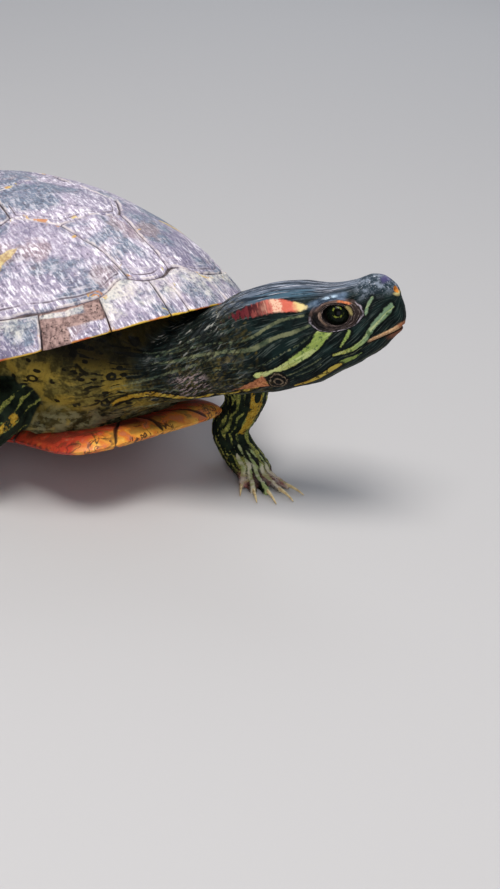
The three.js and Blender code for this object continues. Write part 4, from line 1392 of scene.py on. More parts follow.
def new_node(tree, kind, settings=None, values=None):
    """A node whose inputs are set, or linked where the value given is a socket."""
    made = tree.nodes.new(kind)
    for key, setting in (settings or {}).items():
        setattr(made, key, setting)
    for key, value in (values or {}).items():
        value = value.socket if isinstance(value, Value) else value
        if isinstance(value, bpy.types.NodeSocket):
            tree.links.new(value, socket_of(made.inputs, key))
        else:
            socket_of(made.inputs, key).default_value = value
    return made


class Value:
    """A socket that can stand in a sum: each operator adds its Math node."""

    def __init__(self, finish, socket):
        self.finish, self.socket = finish, socket

    def __add__(self, other):
        return self.finish.math("ADD", self, other)

    def __sub__(self, other):
        return self.finish.math("SUBTRACT", self, other)

    def __rsub__(self, other):
        return self.finish.math("SUBTRACT", other, self)

    def __mul__(self, other):
        return self.finish.math("MULTIPLY", self, other)

    def __abs__(self):
        return self.finish.math("ABSOLUTE", self)

    __radd__ = __add__
    __rmul__ = __mul__

    def most(self, other):
        return self.finish.math("MAXIMUM", self, other)

    def coated(self, share, *rgb):
        """This colour with a share of another over it."""
        return self.finish.mix(share, self, colour(*rgb))

    def toned(self, share, *tones):
        """This colour with a share of two tones over it."""
        return self.finish.mix(share, self, self.finish.tones(*tones))

    def rise(self, low, high):
        """0 below low, 1 above high and smooth between. low may be the greater."""
        values = {"Value": self, "From Min": min(low, high), "From Max": max(low, high)}
        risen = self.finish.node("ShaderNodeMapRange", {"interpolation_type": "SMOOTHSTEP"}, values)
        return 1 - risen if low > high else risen

    def band(self, rise_from, rise_to, fall_from, fall_to):
        """The product of two rises, one up and one down."""
        return self.rise(rise_from, rise_to) * self.rise(fall_from, fall_to)


class Finish:
    """A material in the making. Its constants are set on the shader's own sockets."""

    def __init__(self, name, **constants):
        self.material = bpy.data.materials.new(name)
        self.material.use_nodes = True
        self.tree = self.material.node_tree
        self.shader = next(n for n in self.tree.nodes if n.type == "BSDF_PRINCIPLED")
        for key, number in constants.items():
            self.shader.inputs[key.replace("_", " ")].default_value = number
        self.place = self.node("ShaderNodeTexCoord", output="Object")

    def node(self, kind, settings=None, values=None, output=0):
        made = new_node(self.tree, kind, settings, values)
        return Value(self, socket_of(made.outputs, output))

    def numbers(self, *names):
        """The values that the mesh gives each of its points under these names."""
        return [self.node("ShaderNodeAttribute", {"attribute_name": name}, output="Fac") for name in names]

    def math(self, operation, *terms):
        return self.node("ShaderNodeMath", {"operation": operation}, dict(enumerate(terms)))

    def vector(self, *parts):
        return self.node("ShaderNodeCombineXYZ", None, dict(enumerate(parts)))

    def length(self, *parts):
        """The length of the vector with these parts."""
        values = {0: self.vector(*parts)}
        return self.node("ShaderNodeVectorMath", {"operation": "LENGTH"}, values, output="Value")

    def along(self, stretch=(1, 1, 1), turn=(0, 0, 0), vector=None):
        """A texture's place stretched along axes that are turned by some degrees."""
        values = {"Vector": vector or self.place, "Scale": stretch, "Rotation": [rad(a) for a in turn]}
        return self.node("ShaderNodeMapping", {"vector_type": "TEXTURE"}, values)

    def noise(self, size, detail=3, rough=0.5, vector=None, bend=0.0):
        """Cloudy noise of about 0..1 with lumps of a size in millimetres."""
        values = {"Detail": detail, "Roughness": rough, "Distortion": bend}
        return self.node("ShaderNodeTexNoise", None, {**self.sized(size, vector), **values})

    def grains(self, size, vector=None):
        """Distance from the nearest of scattered points."""
        return self.node("ShaderNodeTexVoronoi", None, self.sized(size, vector), output="Distance")

    def sized(self, size, vector):
        return {"Vector": vector or self.place, "Scale": 1 / (size * MM)}

    def mix(self, share, a, b):
        values = {"Factor_Float": share, "A_Color": a, "B_Color": b}
        return self.node("ShaderNodeMix", {"data_type": "RGBA"}, values, output="Result_Color")

    def tones(self, noise, low, high, dark, light):
        """One colour where a noise is low and another where it is high."""
        return self.mix(noise.rise(low, high), colour(*dark), colour(*light))

    def bump(self, height, depth, strength):
        """A fine relief whose height of 0..1 stands for a depth in millimetres."""
        values = {"Height": height, "Distance": depth * MM, "Strength": strength}
        return self.node("ShaderNodeBump", None, values, output="Normal")

    def wear(self, **sockets):
        for key, value in sockets.items():
            self.tree.links.new(value.socket, self.shader.inputs[key.replace("_", " ")])
        return self.material


def carapace_finish():
    """Worn lavender-grey horn with teal patches, pale scuffs, thin dark seams and a golden lower edge."""
    f = Finish("carapace_horn", IOR=1.5, Specular_IOR_Level=0.4)
    seam, growth, bar, lip, worn, fore, low = f.numbers("seam", "growth", "bar", "lip", "worn", "fore", "low")
    slow, medium, fine = f.noise(24, 3, 0.55), f.noise(7, 4, 0.6), f.noise(1.5, 4, 0.65)
    stroke = f.noise(0.9, 4, 0.7, f.along((1, 4.5, 4.5), (0, -32, 71)))
    nick = f.noise(0.8, 3, 0.6, f.along((3, 1, 1), (25, -10, 60)))
    grit = f.noise(0.6, 2, 0.7)

    paint = f.tones(slow + (medium - 0.5) * 0.4, 0.35, 0.65, (124, 116, 142), (176, 164, 184))
    teal = (f.noise(17, 3, 0.55, bend=0.5) + (medium - 0.5) * 0.35 + (0.5 - low) * 0.1).rise(0.48, 0.64)
    paint = paint.toned(teal * 0.75, fine, 0.35, 0.65, (52, 80, 96), (98, 124, 144))
    tawny = (f.noise(19, 3, 0.6, f.along((1, 1, 1), (0, 0, 77))) + (medium - 0.5) * 0.4).rise(0.56, 0.66)
    paint = paint.coated(tawny * 0.6, 150, 122, 120)
    paint = paint.coated(stroke.rise(0.46, 0.36) * 0.7, 84, 80, 102)
    paint = paint.coated(fine.rise(0.44, 0.34) * 0.6, 70, 62, 78)
    where = (slow * 0.5 + medium * 0.5 + (low - 0.5) * 0.08).rise(0.4, 0.58)
    scuffs = stroke.rise(0.5, 0.6) * (0.25 + 0.75 * where) * (1 - teal * 0.55)
    paint = paint.coated(scuffs * 0.95, 252, 246, 254)
    paint = paint.coated(nick.rise(0.56, 0.66) * 0.55, 206, 192, 204)
    paint = paint.coated(grit.rise(0.62, 0.72) * 0.6, 222, 212, 220)
    paint = paint.coated(grit.rise(0.36, 0.28) * 0.6, 62, 54, 66)

    ragged = seam + (medium - 0.5) * 1.6 + (fine - 0.5) * 0.8
    beam = (bar + (medium - 0.5) * 4 + (fine - 0.5) * 2).rise(2.2, 1.4) * slow.rise(0.3, 0.42)
    paint = paint.toned(beam * 0.8, fine, 0.4, 0.6, (182, 148, 92), (226, 204, 140))
    edge = seam.rise(0.2, 0.42) * ragged.rise(1.15, 0.5) * f.noise(5, 3).rise(0.4, 0.56)
    paint = paint.coated(edge * 0.75, 230, 218, 214)
    cream = (f.noise(6, 5, 0.7) + (0.5 - low) * 0.32 + (0.5 - fore) * 0.16).rise(0.42, 0.74)
    cream = cream * lip.rise(-29, -28) * (0.35 + 0.65 * fine.rise(0.36, 0.6))
    paint = paint.coated(cream * 0.75, 234, 226, 212)
    broken = f.noise(5, 3, 0.6).rise(0.4, 0.56)
    ledge = growth.band(0.05, 0.25, 0.6, 0.35) * broken
    paint = paint.coated(ledge * 0.5, 222, 212, 218)
    paint = paint.coated(growth.rise(0.34, 0.7) * (0.35 + 0.65 * broken) * 0.85, 92, 78, 88)
    fleck = seam.rise(0.2, 0.5) * ragged.rise(3, 1.8) * f.noise(6.5, 4, 0.65, bend=1).rise(0.62, 0.67)
    paint = paint.toned(fleck * 0.85, medium, 0.4, 0.6, (196, 122, 44), (226, 206, 104))

    brown = f.tones(f.noise(2.2, 5, 0.7), 0.35, 0.65, (108, 82, 78), (178, 146, 138))
    pits = f.noise(0.9, 3, 0.7).rise(0.43, 0.36) * f.noise(4.5, 3).rise(0.42, 0.52)
    brown = brown.coated(pits * 0.95, 36, 24, 24)
    rough_low, rough_fore = low + (medium - 0.5) * 0.16, fore + (medium - 0.5) * 0.12
    strip = rough_low.rise(0.06, 0.1) * (rough_low - rough_fore * 0.2).rise(0.2, 0.14)
    strip = strip * rough_fore.rise(0.74, 0.68)
    patch = rough_low.rise(0.56, 0.62) * rough_fore.rise(0.38, 0.44)
    bare = worn * (1 - strip) * (1 - patch)
    paint = f.mix(bare, paint, brown)

    ochre = f.tones(f.noise(9, 2), 0.42, 0.58, (226, 184, 62), (206, 96, 34))
    smudge = f.noise(5, 4, 0.6).rise(0.5, 0.58) * lip.rise(0.6, 2.4)
    ochre = ochre.coated(smudge, 30, 24, 18)
    border = (lip + (medium - 0.5) * 1.4).rise(-1.5, -0.9) * (1 - bare * fore.rise(0.44, 0.38))
    paint = f.mix(border, paint, ochre)
    paint = paint.coated(seam.rise(0.34, 0.12) * 0.75, 78, 64, 68)
    grain = fine * 0.35 + stroke * 0.45 + grit * 0.2 - pits * worn
    return f.wear(Base_Color=paint, Roughness=0.4 + 0.3 * fine + 0.1 * worn, Normal=f.bump(grain, 0.5, 0.8))


def plastron_finish():
    """Yellow-orange in front, redder behind, with dark squiggles and blots, and dusky on the upper face."""
    f = Finish("plastron_horn", IOR=1.5)
    seam, free, upper, fore = f.numbers("seam", "free", "upper", "fore")
    slow, medium, fine = f.noise(24, 2), f.noise(6, 4, 0.6), f.noise(1.3, 4, 0.6)
    red = f.tones(slow, 0.35, 0.65, (204, 78, 42), (184, 54, 34))
    gold = f.tones(medium, 0.35, 0.6, (216, 108, 36), (234, 164, 60))
    paint = f.mix((fore + (medium - 0.5) * 0.5).rise(0.45, 0.85), red, gold)
    paint = paint.coated(f.noise(3, 3, 0.6).rise(0.56, 0.68) * (0.2 + 0.5 * fore), 240, 186, 80)
    blot = f.noise(16, 3, 0.55, bend=1.2)
    paint = paint.coated(blot.rise(0.56, 0.6) * free.rise(4, 9) * (1 - upper), 34, 26, 24)
    squiggle = abs(f.noise(7, 3, 0.5, bend=1.4) - 0.5).rise(0.036, 0.018) * f.noise(13).rise(0.46, 0.54)
    paint = paint.coated(squiggle * (0.4 + 0.5 * fore), 58, 24, 14)
    paint = paint.coated(f.noise(2, 4, 0.65).rise(0.6, 0.7) * 0.7, 112, 34, 18)
    dusk = upper * (medium + slow * 0.6).rise(0.78, 0.86) * free.rise(0.8, 2.6)
    paint = paint.coated(dusk * 0.55, 66, 36, 26)
    paint = paint.coated(upper * medium.rise(0.42, 0.34) * 0.5, 196, 128, 96)
    border = (seam + (medium - 0.5) * 1.2).rise(0.9, 0.3) * (free - seam).rise(0.1, 0.7)
    paint = paint.coated(border * 0.9, 36, 20, 16)
    rough = 0.34 + 0.3 * fine
    return f.wear(Base_Color=paint, Roughness=rough, Normal=f.bump(fine * 0.5 + medium * 0.5, 0.5, 0.8))


def bone_finish():
    f = Finish("seam_bone", Roughness=0.8)
    paint = f.tones(f.noise(3, 3), 0.4, 0.6, (58, 48, 50), (98, 84, 84))
    return f.wear(Base_Color=paint)


SKIN_NUMBERS = (
    "run", "height", "red", "lime", "gold", "pale", "olive", "limb", "stripe", "front", "digit", "pink",
    "under", "deep", "bite", "mouth", "lid", "lid_up", "lid_ahead", "ahead", "aside", "above",
)


class SkinFinish(Finish):
    """The skin's numbers and noises, which all of its layers share."""

    def __init__(self):
        super().__init__("turtle_skin", IOR=1.45, Specular_IOR_Level=0.06, Coat_Roughness=0.22)
        self.a = dict(zip(SKIN_NUMBERS, self.numbers(*SKIN_NUMBERS)))
        self.fine, self.coarse = self.noise(0.8, 4, 0.65), self.noise(5, 4, 0.6)
        self.streak = self.lengthwise(0.09, 17, 4)
        self.grain = self.lengthwise(0.075, 34, 3)
        self.ragged = (self.noise(1.1, 3, 0.6) - 0.5) * 0.8
        self.broken = self.noise(4, 3, 0.6).rise(0.36, 0.5)

    def lengthwise(self, along, round_it, detail):
        """Noise drawn out along the neck, with its lumps per millimetre along it and per right angle round."""
        run, height = self.a["run"], self.a["height"]
        flow = height - (run - 66).most(0) * height.rise(0.34, -0.05) * 0.0135
        place = self.vector(run * along, flow * round_it, self.a["limb"])
        values = {"Vector": place, "Scale": 1.0, "Detail": detail, "Roughness": 0.6}
        return self.node("ShaderNodeTexNoise", None, values)

    def contour(self, noise, many, low, high):
        """Thin wavy lines where a noise crosses evenly spaced levels."""
        return self.math("SINE", noise * many).rise(low, high)

    def span(self, name, low, high, soft):
        """1 while one of the numbers lies between two limits, fading out over a soft border."""
        return self.a[name].band(low - soft, low + soft, high + soft, high - soft)


def neck_paint(f):
    """Near-black green with fine lengthwise lines, a painted steel-blue sky sheen with glinting lines over the
    crown, a painted blue-green glint band on the side and bluish on the snout with painted glints.
    """
    a, fine, coarse = f.a, f.fine, f.coarse
    hair = f.grain.rise(0.55, 0.63) * (0.25 + 0.75 * f.broken)
    paint = f.tones(coarse, 0.35, 0.65, (5, 11, 11), (17, 31, 30))
    paint = paint.coated(f.streak.rise(0.54, 0.66) * 0.5, 54, 70, 66)
    paint = paint.coated(hair * 0.28, 110, 120, 112)
    # Painted sky reflection: a steel-blue sheen over the crown, with bright painted glints along its fine
    # lines.
    crown = a["height"].rise(0.42, 0.72) * a["run"].rise(54, 72)
    crown_sky_sheen = f.tones(f.streak, 0.42, 0.6, (42, 50, 62), (108, 118, 134))
    crown_sky_sheen = crown_sky_sheen.coated(hair * 0.85, 206, 208, 222)
    paint = f.mix(crown * 0.9, paint, crown_sky_sheen)
    # A painted blue-green glint band along the side of the head.
    teal = f.span("height", 0.52, 0.68, 0.05) * f.span("run", 73, 94, 3)
    paint = paint.coated(teal * f.streak.rise(0.4, 0.55) * 0.75, 66, 98, 116)
    snout = a["run"].rise(105, 111) * a["height"].rise(0.1, 0.45)
    blotch = f.tones(f.noise(2.4, 4, 0.65), 0.46, 0.62, (42, 56, 66), (132, 142, 156))
    # Painted glints: fine near-white specks over the snout's bluish blotches.
    blotch = blotch.coated(fine.rise(0.58, 0.7) * 0.7, 206, 208, 218)
    paint = f.mix(snout * 0.85, paint, blotch)
    violet = f.span("ahead", 16, 19, 0.8) * f.span("above", 3.6, 7.4, 0.8)
    return paint.coated(violet * coarse.rise(0.36, 0.5) * 0.6, 86, 74, 124)


def loose_paint(f):
    """Olive-yellow pocket skin with black dots, dashes and rings, and painted near-black shade under the
    shell's rim.
    """
    a, fine, coarse = f.a, f.fine, f.coarse
    slow = f.noise(12, 2)
    mottle = coarse * 0.5 + f.noise(1.8, 4, 0.65) * 0.5
    paint = f.tones(mottle, 0.4, 0.6, (80, 70, 32), (132, 118, 60))
    paint = paint.coated((slow + (mottle - 0.5) * 0.6).rise(0.46, 0.58) * 0.65, 170, 142, 56)
    paint = paint.coated(fine.rise(0.5, 0.8) * 0.5, 56, 54, 32)
    paint = paint.coated(f.streak.rise(0.55, 0.68) * 0.5, 48, 56, 40)
    dots = (f.grains(3.3, vector=f.along((1.7, 1, 1), (0, 0, 40))) + f.ragged * 0.18).rise(0.29, 0.23)
    dots = dots * f.noise(9, 2).rise(0.38, 0.46)
    cell = f.grains(11) + f.ragged * 0.07 + (mottle - 0.5) * 0.12
    rings = cell.band(0.09, 0.11, 0.2, 0.18)
    wavy = f.contour(f.lengthwise(0.035, 5, 2), 44, 0.45, 0.7)
    wavy = wavy * a["run"].rise(8, 20) * a["height"].rise(0.6, 0.4)
    paint = paint.coated(dots.most(rings).most(wavy * f.broken) * 0.95, 14, 14, 10)
    wrinkle = f.noise(2.2, 4, 0.65, f.along((2.5, 2.5, 1)))
    rolls = f.tones(wrinkle, 0.42, 0.58, (26, 28, 22), (116, 112, 84))
    rolls = rolls.coated(coarse.rise(0.55, 0.65) * 0.7, 152, 132, 70)
    paint = f.mix(a["under"] * 0.85, paint, rolls)
    # Painted shade: near-black under the shell's rim and round the neck's root.
    return paint.coated(a["deep"] * 0.94, 9, 8, 5)


def neck_lines(f, paint):
    """The lines along the neck and head: pale, lime, golden and the red one behind the eye."""
    a, fine, coarse, ragged = f.a, f.fine, f.coarse, f.ragged
    pale = f.tones(coarse, 0.4, 0.6, (68, 80, 60), (118, 120, 88))
    pale = pale.coated(a["height"].rise(0.35, 0.6), 98, 114, 128)
    cover = (a["pale"] + ragged * 0.9 - 0.08).rise(-0.2, 0.16) * (0.6 + 0.4 * f.broken)
    paint = f.mix(cover * 0.85, paint, pale)
    paint = paint.coated((a["lime"] + ragged).rise(-1.2, -0.5) * 0.85, 7, 12, 12)
    lime = f.tones(a["run"], 108, 98, (108, 130, 104), (134, 150, 76))
    lime = lime.coated(a["run"].rise(101, 96) * f.span("height", -0.4, -0.24, 0.03), 164, 160, 78)
    lime = lime.coated(a["run"].rise(84, 72), 192, 196, 124)
    lime = lime.coated(f.streak.rise(0.5, 0.62) * 0.6, 194, 200, 140)
    lime = lime.coated(f.grain.rise(0.48, 0.4) * 0.4, 104, 128, 62)
    lime = lime.coated(f.noise(1.5, 4, 0.65).rise(0.54, 0.62) * 0.85, 62, 84, 48)
    paint = f.mix((a["lime"] + ragged * 1.3).rise(-0.2, 0.2), paint, lime)
    paint = paint.coated((a["gold"] + ragged).rise(-1.3, -0.6) * 0.85, 12, 10, 8)
    gold = f.tones(coarse, 0.4, 0.65, (160, 124, 40), (190, 168, 74))
    gold = gold.coated(f.noise(1.6, 3).rise(0.54, 0.6) * 0.85, 26, 20, 10)
    paint = f.mix((a["gold"] + ragged * 1.2).rise(-0.2, 0.15), paint, gold)

    bars, run = f.lengthwise(0.85, 3.5, 2), a["run"] + ragged * 2 + (coarse - 0.5) * 5
    red = f.tones(run, 69, 82, (92, 32, 38), (204, 116, 100))
    red = red.coated(bars.rise(0.46, 0.56) * run.rise(84, 72) * 0.85, 50, 18, 24)
    red = red.coated(bars.rise(0.54, 0.62) * run.rise(74, 80) * 0.5, 232, 184, 156)
    red = red.coated(run.band(79.2, 80.2, 83.4, 82.4) * fine.rise(0.36, 0.5) * 0.7, 238, 204, 172)
    red = red.coated(run.rise(82.4, 83.6) * 0.85, 204, 98, 78)
    red = red.coated(run.rise(86, 88.5), 222, 200, 136)
    frayed = a["red"] + ragged * 1.6 - run.rise(76, 66) * bars.rise(0.38, 0.6) * 1.8
    return f.mix(frayed.rise(-0.5, 0.4), paint, red)


def jaw_corner(f, paint):
    """The orange-brown patch and the dark ringed spot behind the corner of the jaws."""
    a = f.a
    uneven = (f.noise(2.6, 3, 0.6) - 0.5) * 3.4
    side = a["height"] * 22.5
    top = (a["run"] - 54.5) * 0.42 - 13.2
    patch = (side + uneven * 0.6).rise(-13.2, -12.6) * (top - side + uneven * 0.6).rise(-0.3, 0.4)
    patch = patch * (a["run"] + uneven * 0.5).rise(68.4, 67.4) * a["run"].rise(55, 57)
    orange = f.tones(f.fine, 0.35, 0.65, (146, 84, 52), (206, 136, 94))
    paint = f.mix(patch * 0.92, paint, orange)
    spot = f.length(a["run"] - 71.8, side + 11) + uneven * 0.5
    brown = f.tones(f.fine, 0.4, 0.6, (78, 64, 54), (138, 120, 98))
    rings = (spot + uneven * 0.5).rise(3.5, 3.2) * (spot + uneven * 0.5).rise(2.7, 2.9)
    rings = rings.most((spot - uneven * 0.7).rise(1.9, 1.6) * (spot - uneven * 0.7).rise(1.1, 1.3))
    paint = paint.coated(spot.rise(4.3, 3.9) * 0.95, 12, 11, 10)
    return f.mix(rings * 0.8, paint, brown)


def limb_paint(f, paint):
    """Dark legs with thin uneven lines and golden fronts, and pale lines along the toes."""
    a, fine, coarse, ragged = f.a, f.fine, f.coarse, f.ragged
    limb = f.tones(coarse, 0.35, 0.65, (12, 17, 14), (34, 44, 32))
    line = f.tones(fine, 0.4, 0.6, (96, 108, 54), (172, 170, 88))
    limb = f.mix((a["stripe"] + ragged * 1.1 - 0.1).rise(-0.22, 0.18) * (0.3 + 0.7 * f.broken), limb, line)
    golden = (a["front"] + ragged * 0.3).rise(0.42, 0.58) * (coarse + fine * 0.3).rise(0.76, 0.66)
    limb = limb.toned(golden, fine, 0.4, 0.6, (164, 124, 36), (196, 164, 66))
    toe = f.tones(coarse, 0.42, 0.58, (164, 178, 116), (216, 208, 180))
    limb = f.mix((a["digit"] + ragged * 0.7).rise(-0.2, 0.25) * 0.95, limb, toe)
    rosy = f.tones(coarse, 0.4, 0.6, (176, 116, 106), (222, 202, 190))
    limb = f.mix(a["pink"] * fine.rise(0.3, 0.5) * 0.65, limb, rosy)
    return f.mix(a["limb"].rise(0.25, 0.6), paint, limb)


def jaw_paint(f, paint):
    """The tan cutting edge, the darker chin, the slit between the jaws and the nostrils."""
    a, fine, ragged = f.a, f.fine, f.ragged
    tan = a["bite"].rise(-0.05, 0.15) * (a["bite"] - a["ahead"] * 0.055 + ragged).rise(1.15, 0.6) * a["mouth"]
    tan = tan * a["ahead"].rise(4.5, 6.5)
    paint = paint.toned(tan * 0.9, fine, 0.4, 0.6, (184, 140, 100), (214, 176, 134))
    tip = a["ahead"].rise(15.2, 16.6) * a["bite"].rise(2.4, 1.4) * a["bite"].rise(-0.2, 0.1)
    paint = paint.coated(tip * 0.8, 142, 78, 52)
    chin = a["bite"].rise(-0.1, -0.4) * (a["bite"] + ragged * 2).rise(-2.2, -1.3) * a["ahead"].rise(10, 13)
    paint = paint.coated(chin * 0.65, 140, 88, 66)
    paint = paint.coated(abs(a["bite"]).rise(0.36, 0.1) * a["mouth"] * 0.9, 12, 10, 10)
    nose = f.length(a["ahead"] - 19, a["aside"] - 2.35, a["above"] + 0.1)
    paint = paint.coated(nose.rise(2.6, 1.8) * a["above"].rise(-0.3, -1.2) * 0.85, 206, 192, 132)
    paint = paint.coated(nose.rise(1.7, 1.1) * 0.9, 204, 126, 36)
    return paint.coated(nose.rise(0.7, 0.35), 28, 14, 6)


def lid_paint(f, paint):
    """Folded brown-grey eyelids with an orange streak above in front, and a painted bluish sheen with a
    painted glint on the brow.
    """
    a, fine, coarse = f.a, f.fine, f.coarse
    up, ahead = a["lid_up"], a["lid_ahead"]
    share = a["lid"] + (f.noise(2.4, 3) - 0.5) * 0.5
    patchy = 0.2 + 0.8 * f.noise(1.8, 3, 0.6).rise(0.38, 0.54)
    lids = f.tones(coarse, 0.4, 0.6, (18, 16, 17), (48, 39, 37))
    for at, half, strength in ((0.08, 0.05, 0.7), (0.3, 0.045, 0.85), (0.52, 0.04, 0.8), (0.74, 0.05, 0.8)):
        fold = share.band(at - half, at, at + half, at) * patchy
        fold = fold * strength * (0.45 + 0.55 * up.rise(-0.3, 0.5))
        lids = lids.toned(fold, fine, 0.4, 0.6, (124, 102, 92), (176, 158, 152))
    upper = share.rise(0.36, 0.5) * up.rise(0.1, 0.5) * coarse.rise(0.36, 0.5)
    lids = lids.coated(upper * 0.5, 116, 92, 82)
    corner = share.band(0.02, 0.14, 0.42, 0.3) * (ahead + (fine - 0.5) * 0.1).rise(0.9, 0.97)
    lids = lids.coated(corner * 0.85, 148, 134, 84)
    streak = share.band(0.42, 0.54, 0.8, 0.68) * up.rise(0.22, 0.36) * ahead.rise(0.35, 0.55)
    lids = lids.toned(streak * 0.85, fine, 0.4, 0.6, (176, 92, 52), (220, 136, 88))
    behind = share.band(0.4, 0.5, 0.95, 0.8) * ahead.rise(-0.78, -0.9)
    lids = lids.coated(behind * 0.9, 12, 12, 13)
    tan = share.band(0.1, 0.2, 0.42, 0.32) * ahead.rise(-0.8, -0.92)
    lids = lids.coated(tan * 0.7, 150, 124, 106)
    rim = share.band(0.9, 0.97, 1.08, 1.01) * up.rise(0.4, 0.1)
    lids = lids.coated(rim * patchy * 0.8, 172, 162, 170)
    paint = f.mix(share.band(1.14, 1.04, -0.5, -0.3), paint, lids)
    # Painted sheen: a bluish shine on the brow, with a painted glint at its middle.
    brow = (share + (coarse - 0.5) * 0.3).rise(0.74, 0.95) * share.rise(2.1, 1.5) * up.rise(0.45, 0.8)
    paint = paint.toned(brow * 0.8, coarse, 0.4, 0.6, (50, 66, 84), (104, 124, 148))
    glint = brow * share.rise(1.1, 1.3) * share.rise(1.7, 1.45) * up.rise(0.9, 0.97) * fine.rise(0.4, 0.55)
    paint = paint.coated(glint * 0.7, 196, 220, 240)
    return paint.coated(a["lid"].rise(0.04, -0.03), 12, 10, 9)


def skin_finish():
    """Black-green skin with yellow, lime and red lines, olive where it is loose, a painted bluish sky sheen
    over the crown, and painted shade and highlights on the neck's wrinkles.
    """
    f = SkinFinish()
    a = f.a
    slant = f.along((3.2, 1, 1), (0, 0, math.degrees(0.5)), f.vector(a["run"] * MM, a["height"] * (26 * MM)))
    fold = f.noise(1.4, 3, 0.6, slant)
    creases, fold_highlight = fold.rise(0.48, 0.4), fold.rise(0.58, 0.65)
    wrinkled = f.span("run", 26, 66, 7) * a["height"].rise(0.98, 0.75) * a["olive"].rise(0.7, 0.2)
    paint = f.mix(wrinkled * f.coarse.rise(0.5, 0.66) * 0.2, neck_paint(f), colour(84, 78, 84))
    paint = f.mix(a["olive"], paint, loose_paint(f))
    paint = neck_lines(f, paint)
    # Painted shade in the creases of the neck's wrinkles.
    paint = paint.coated(creases * wrinkled * 0.7, 9, 10, 10)
    # Painted highlights on the ridges of the neck's wrinkles, stronger on the upper side.
    upper = a["height"].rise(0.12, 0.4)
    fold_highlight = fold_highlight * wrinkled * f.noise(8, 2).rise(0.42, 0.56) * (0.35 + 0.5 * upper)
    paint = paint.coated(fold_highlight, 152, 150, 142)
    rosy = f.span("run", 41, 50, 2.5) * f.span("height", -0.5, -0.08, 0.08)
    rosy = rosy * f.noise(0.9, 3, 0.7, slant).rise(0.5, 0.6)
    paint = paint.coated(rosy * 0.65, 186, 162, 160)
    paint = jaw_corner(f, paint)
    paint = limb_paint(f, paint)
    paint = lid_paint(f, jaw_paint(f, paint))
    crown = a["height"].rise(0.45, 0.8) * a["run"].rise(58, 72)
    wet = 0.4 + 0.34 * f.fine - 0.1 * crown
    relief = f.fine * 0.55 + f.grains(1.1) * 0.2 + f.streak * 0.25 - creases * wrinkled * 0.9
    glints = (f.fine.rise(0.5, 0.7) * 0.25 + f.grain.rise(0.52, 0.64) * 0.3) * (0.3 + 0.7 * crown)
    return f.wear(Base_Color=paint, Roughness=wet, Coat_Weight=glints, Normal=f.bump(relief, 0.4, 0.85))


def eye_finish():
    shine = {"Coat_Weight": 0.05, "Coat_Roughness": 0.05, "Roughness": 0.2, "Specular_IOR_Level": 0.08}
    f = Finish("eye_wet", IOR=1.36, **shine)
    axis, across, above = f.numbers("axis", "across", "above")
    paint = f.tones(f.noise(0.8, 3), 0.4, 0.65, (5, 9, 7), (17, 23, 14))
    uneven = axis + (f.noise(1.4, 2) - 0.5) * 0.5
    ring = uneven.band(1.4, 1.55, 2.1, 1.9)
    bar = abs(above - across * 0.12).rise(0.35, 0.6)
    broken = f.noise(1.3, 2).rise(0.4, 0.52)
    paint = paint.coated(ring * bar * broken * 0.9, 116, 124, 48)
    paint = paint.coated(axis.rise(1.3, 1.1), 1, 1, 1)
    paint = paint.coated(axis.rise(3.6, 4.0), 20, 17, 14)
    return f.wear(Base_Color=paint)


def claw_finish():
    f = Finish("claw_horn", IOR=1.5, Roughness=0.35)
    paint = f.tones(f.noise(1.5, 3), 0.4, 0.7, (226, 204, 150), (190, 160, 112))
    return f.wear(Base_Color=paint)


# ---------------------------------------------------------------- claws, grown by Geometry Nodes
def claw_tree(material):
    """Puts a curved, tapering claw on every point, turned by the point's yaw and sized by its length."""
    tree = bpy.data.node_groups.new("claws", "GeometryNodeTree")
    for name, kind, number in (
        ("Geometry", "NodeSocketGeometry", None),
        ("Base radius", "NodeSocketFloat", 0.08),
        ("Tip radius", "NodeSocketFloat", 0.02),
        ("Arch", "NodeSocketFloat", 0.06),
        ("Droop", "NodeSocketFloat", 0.12),
    ):
        socket = tree.interface.new_socket(name, in_out="INPUT", socket_type=kind)
        if number is not None:
            socket.default_value = number
    tree.interface.new_socket("Geometry", in_out="OUTPUT", socket_type="NodeSocketGeometry")

    def node(kind, values=None, settings=None):
        return new_node(tree, kind, settings, values).outputs

    given = node("NodeGroupInput")
    middle = node("ShaderNodeCombineXYZ", {"X": 0.5, "Z": given["Arch"]})[0]
    drop = node("ShaderNodeMath", {0: given["Droop"], 1: -1.0}, {"operation": "MULTIPLY"})[0]
    end = node("ShaderNodeCombineXYZ", {"X": 1.0, "Z": drop})[0]
    bent = {"Resolution": 9, "Start": (0, 0, 0), "Middle": middle, "End": end}
    spine = node("GeometryNodeCurveQuadraticBezier", bent)[0]
    share = node("GeometryNodeSplineParameter")["Factor"]
    thin = node("ShaderNodeMath", {0: share, 1: 1.5}, {"operation": "POWER"})[0]
    radii = {"To Min": given["Base radius"], "To Max": given["Tip radius"]}
    span = node("ShaderNodeMapRange", {"Value": thin, **radii})[0]
    profile = node("GeometryNodeCurvePrimitiveCircle", {"Resolution": 12, "Radius": 1.0})[0]
    tapered = {"Curve": spine, "Profile Curve": profile, "Scale": span, "Fill Caps": True}
    swept = node("GeometryNodeCurveToMesh", tapered)[0]
    length, yaw = (
        node("GeometryNodeInputNamedAttribute", {"Name": name}, {"data_type": "FLOAT"})[0]
        for name in ("length", "yaw")
    )
    turn = node("ShaderNodeCombineXYZ", {"Z": yaw})[0]
    placing = {"Points": given["Geometry"], "Instance": swept, "Rotation": turn, "Scale": length}
    grown = node("GeometryNodeInstanceOnPoints", placing)[0]
    real = node("GeometryNodeRealizeInstances", {"Geometry": grown})[0]
    smooth = node("GeometryNodeSetShadeSmooth", {"Geometry": real})[0]
    painted = node("GeometryNodeSetMaterial", {"Geometry": smooth, "Material": material})[0]
    node("NodeGroupOutput", {"Geometry": painted})
    return tree


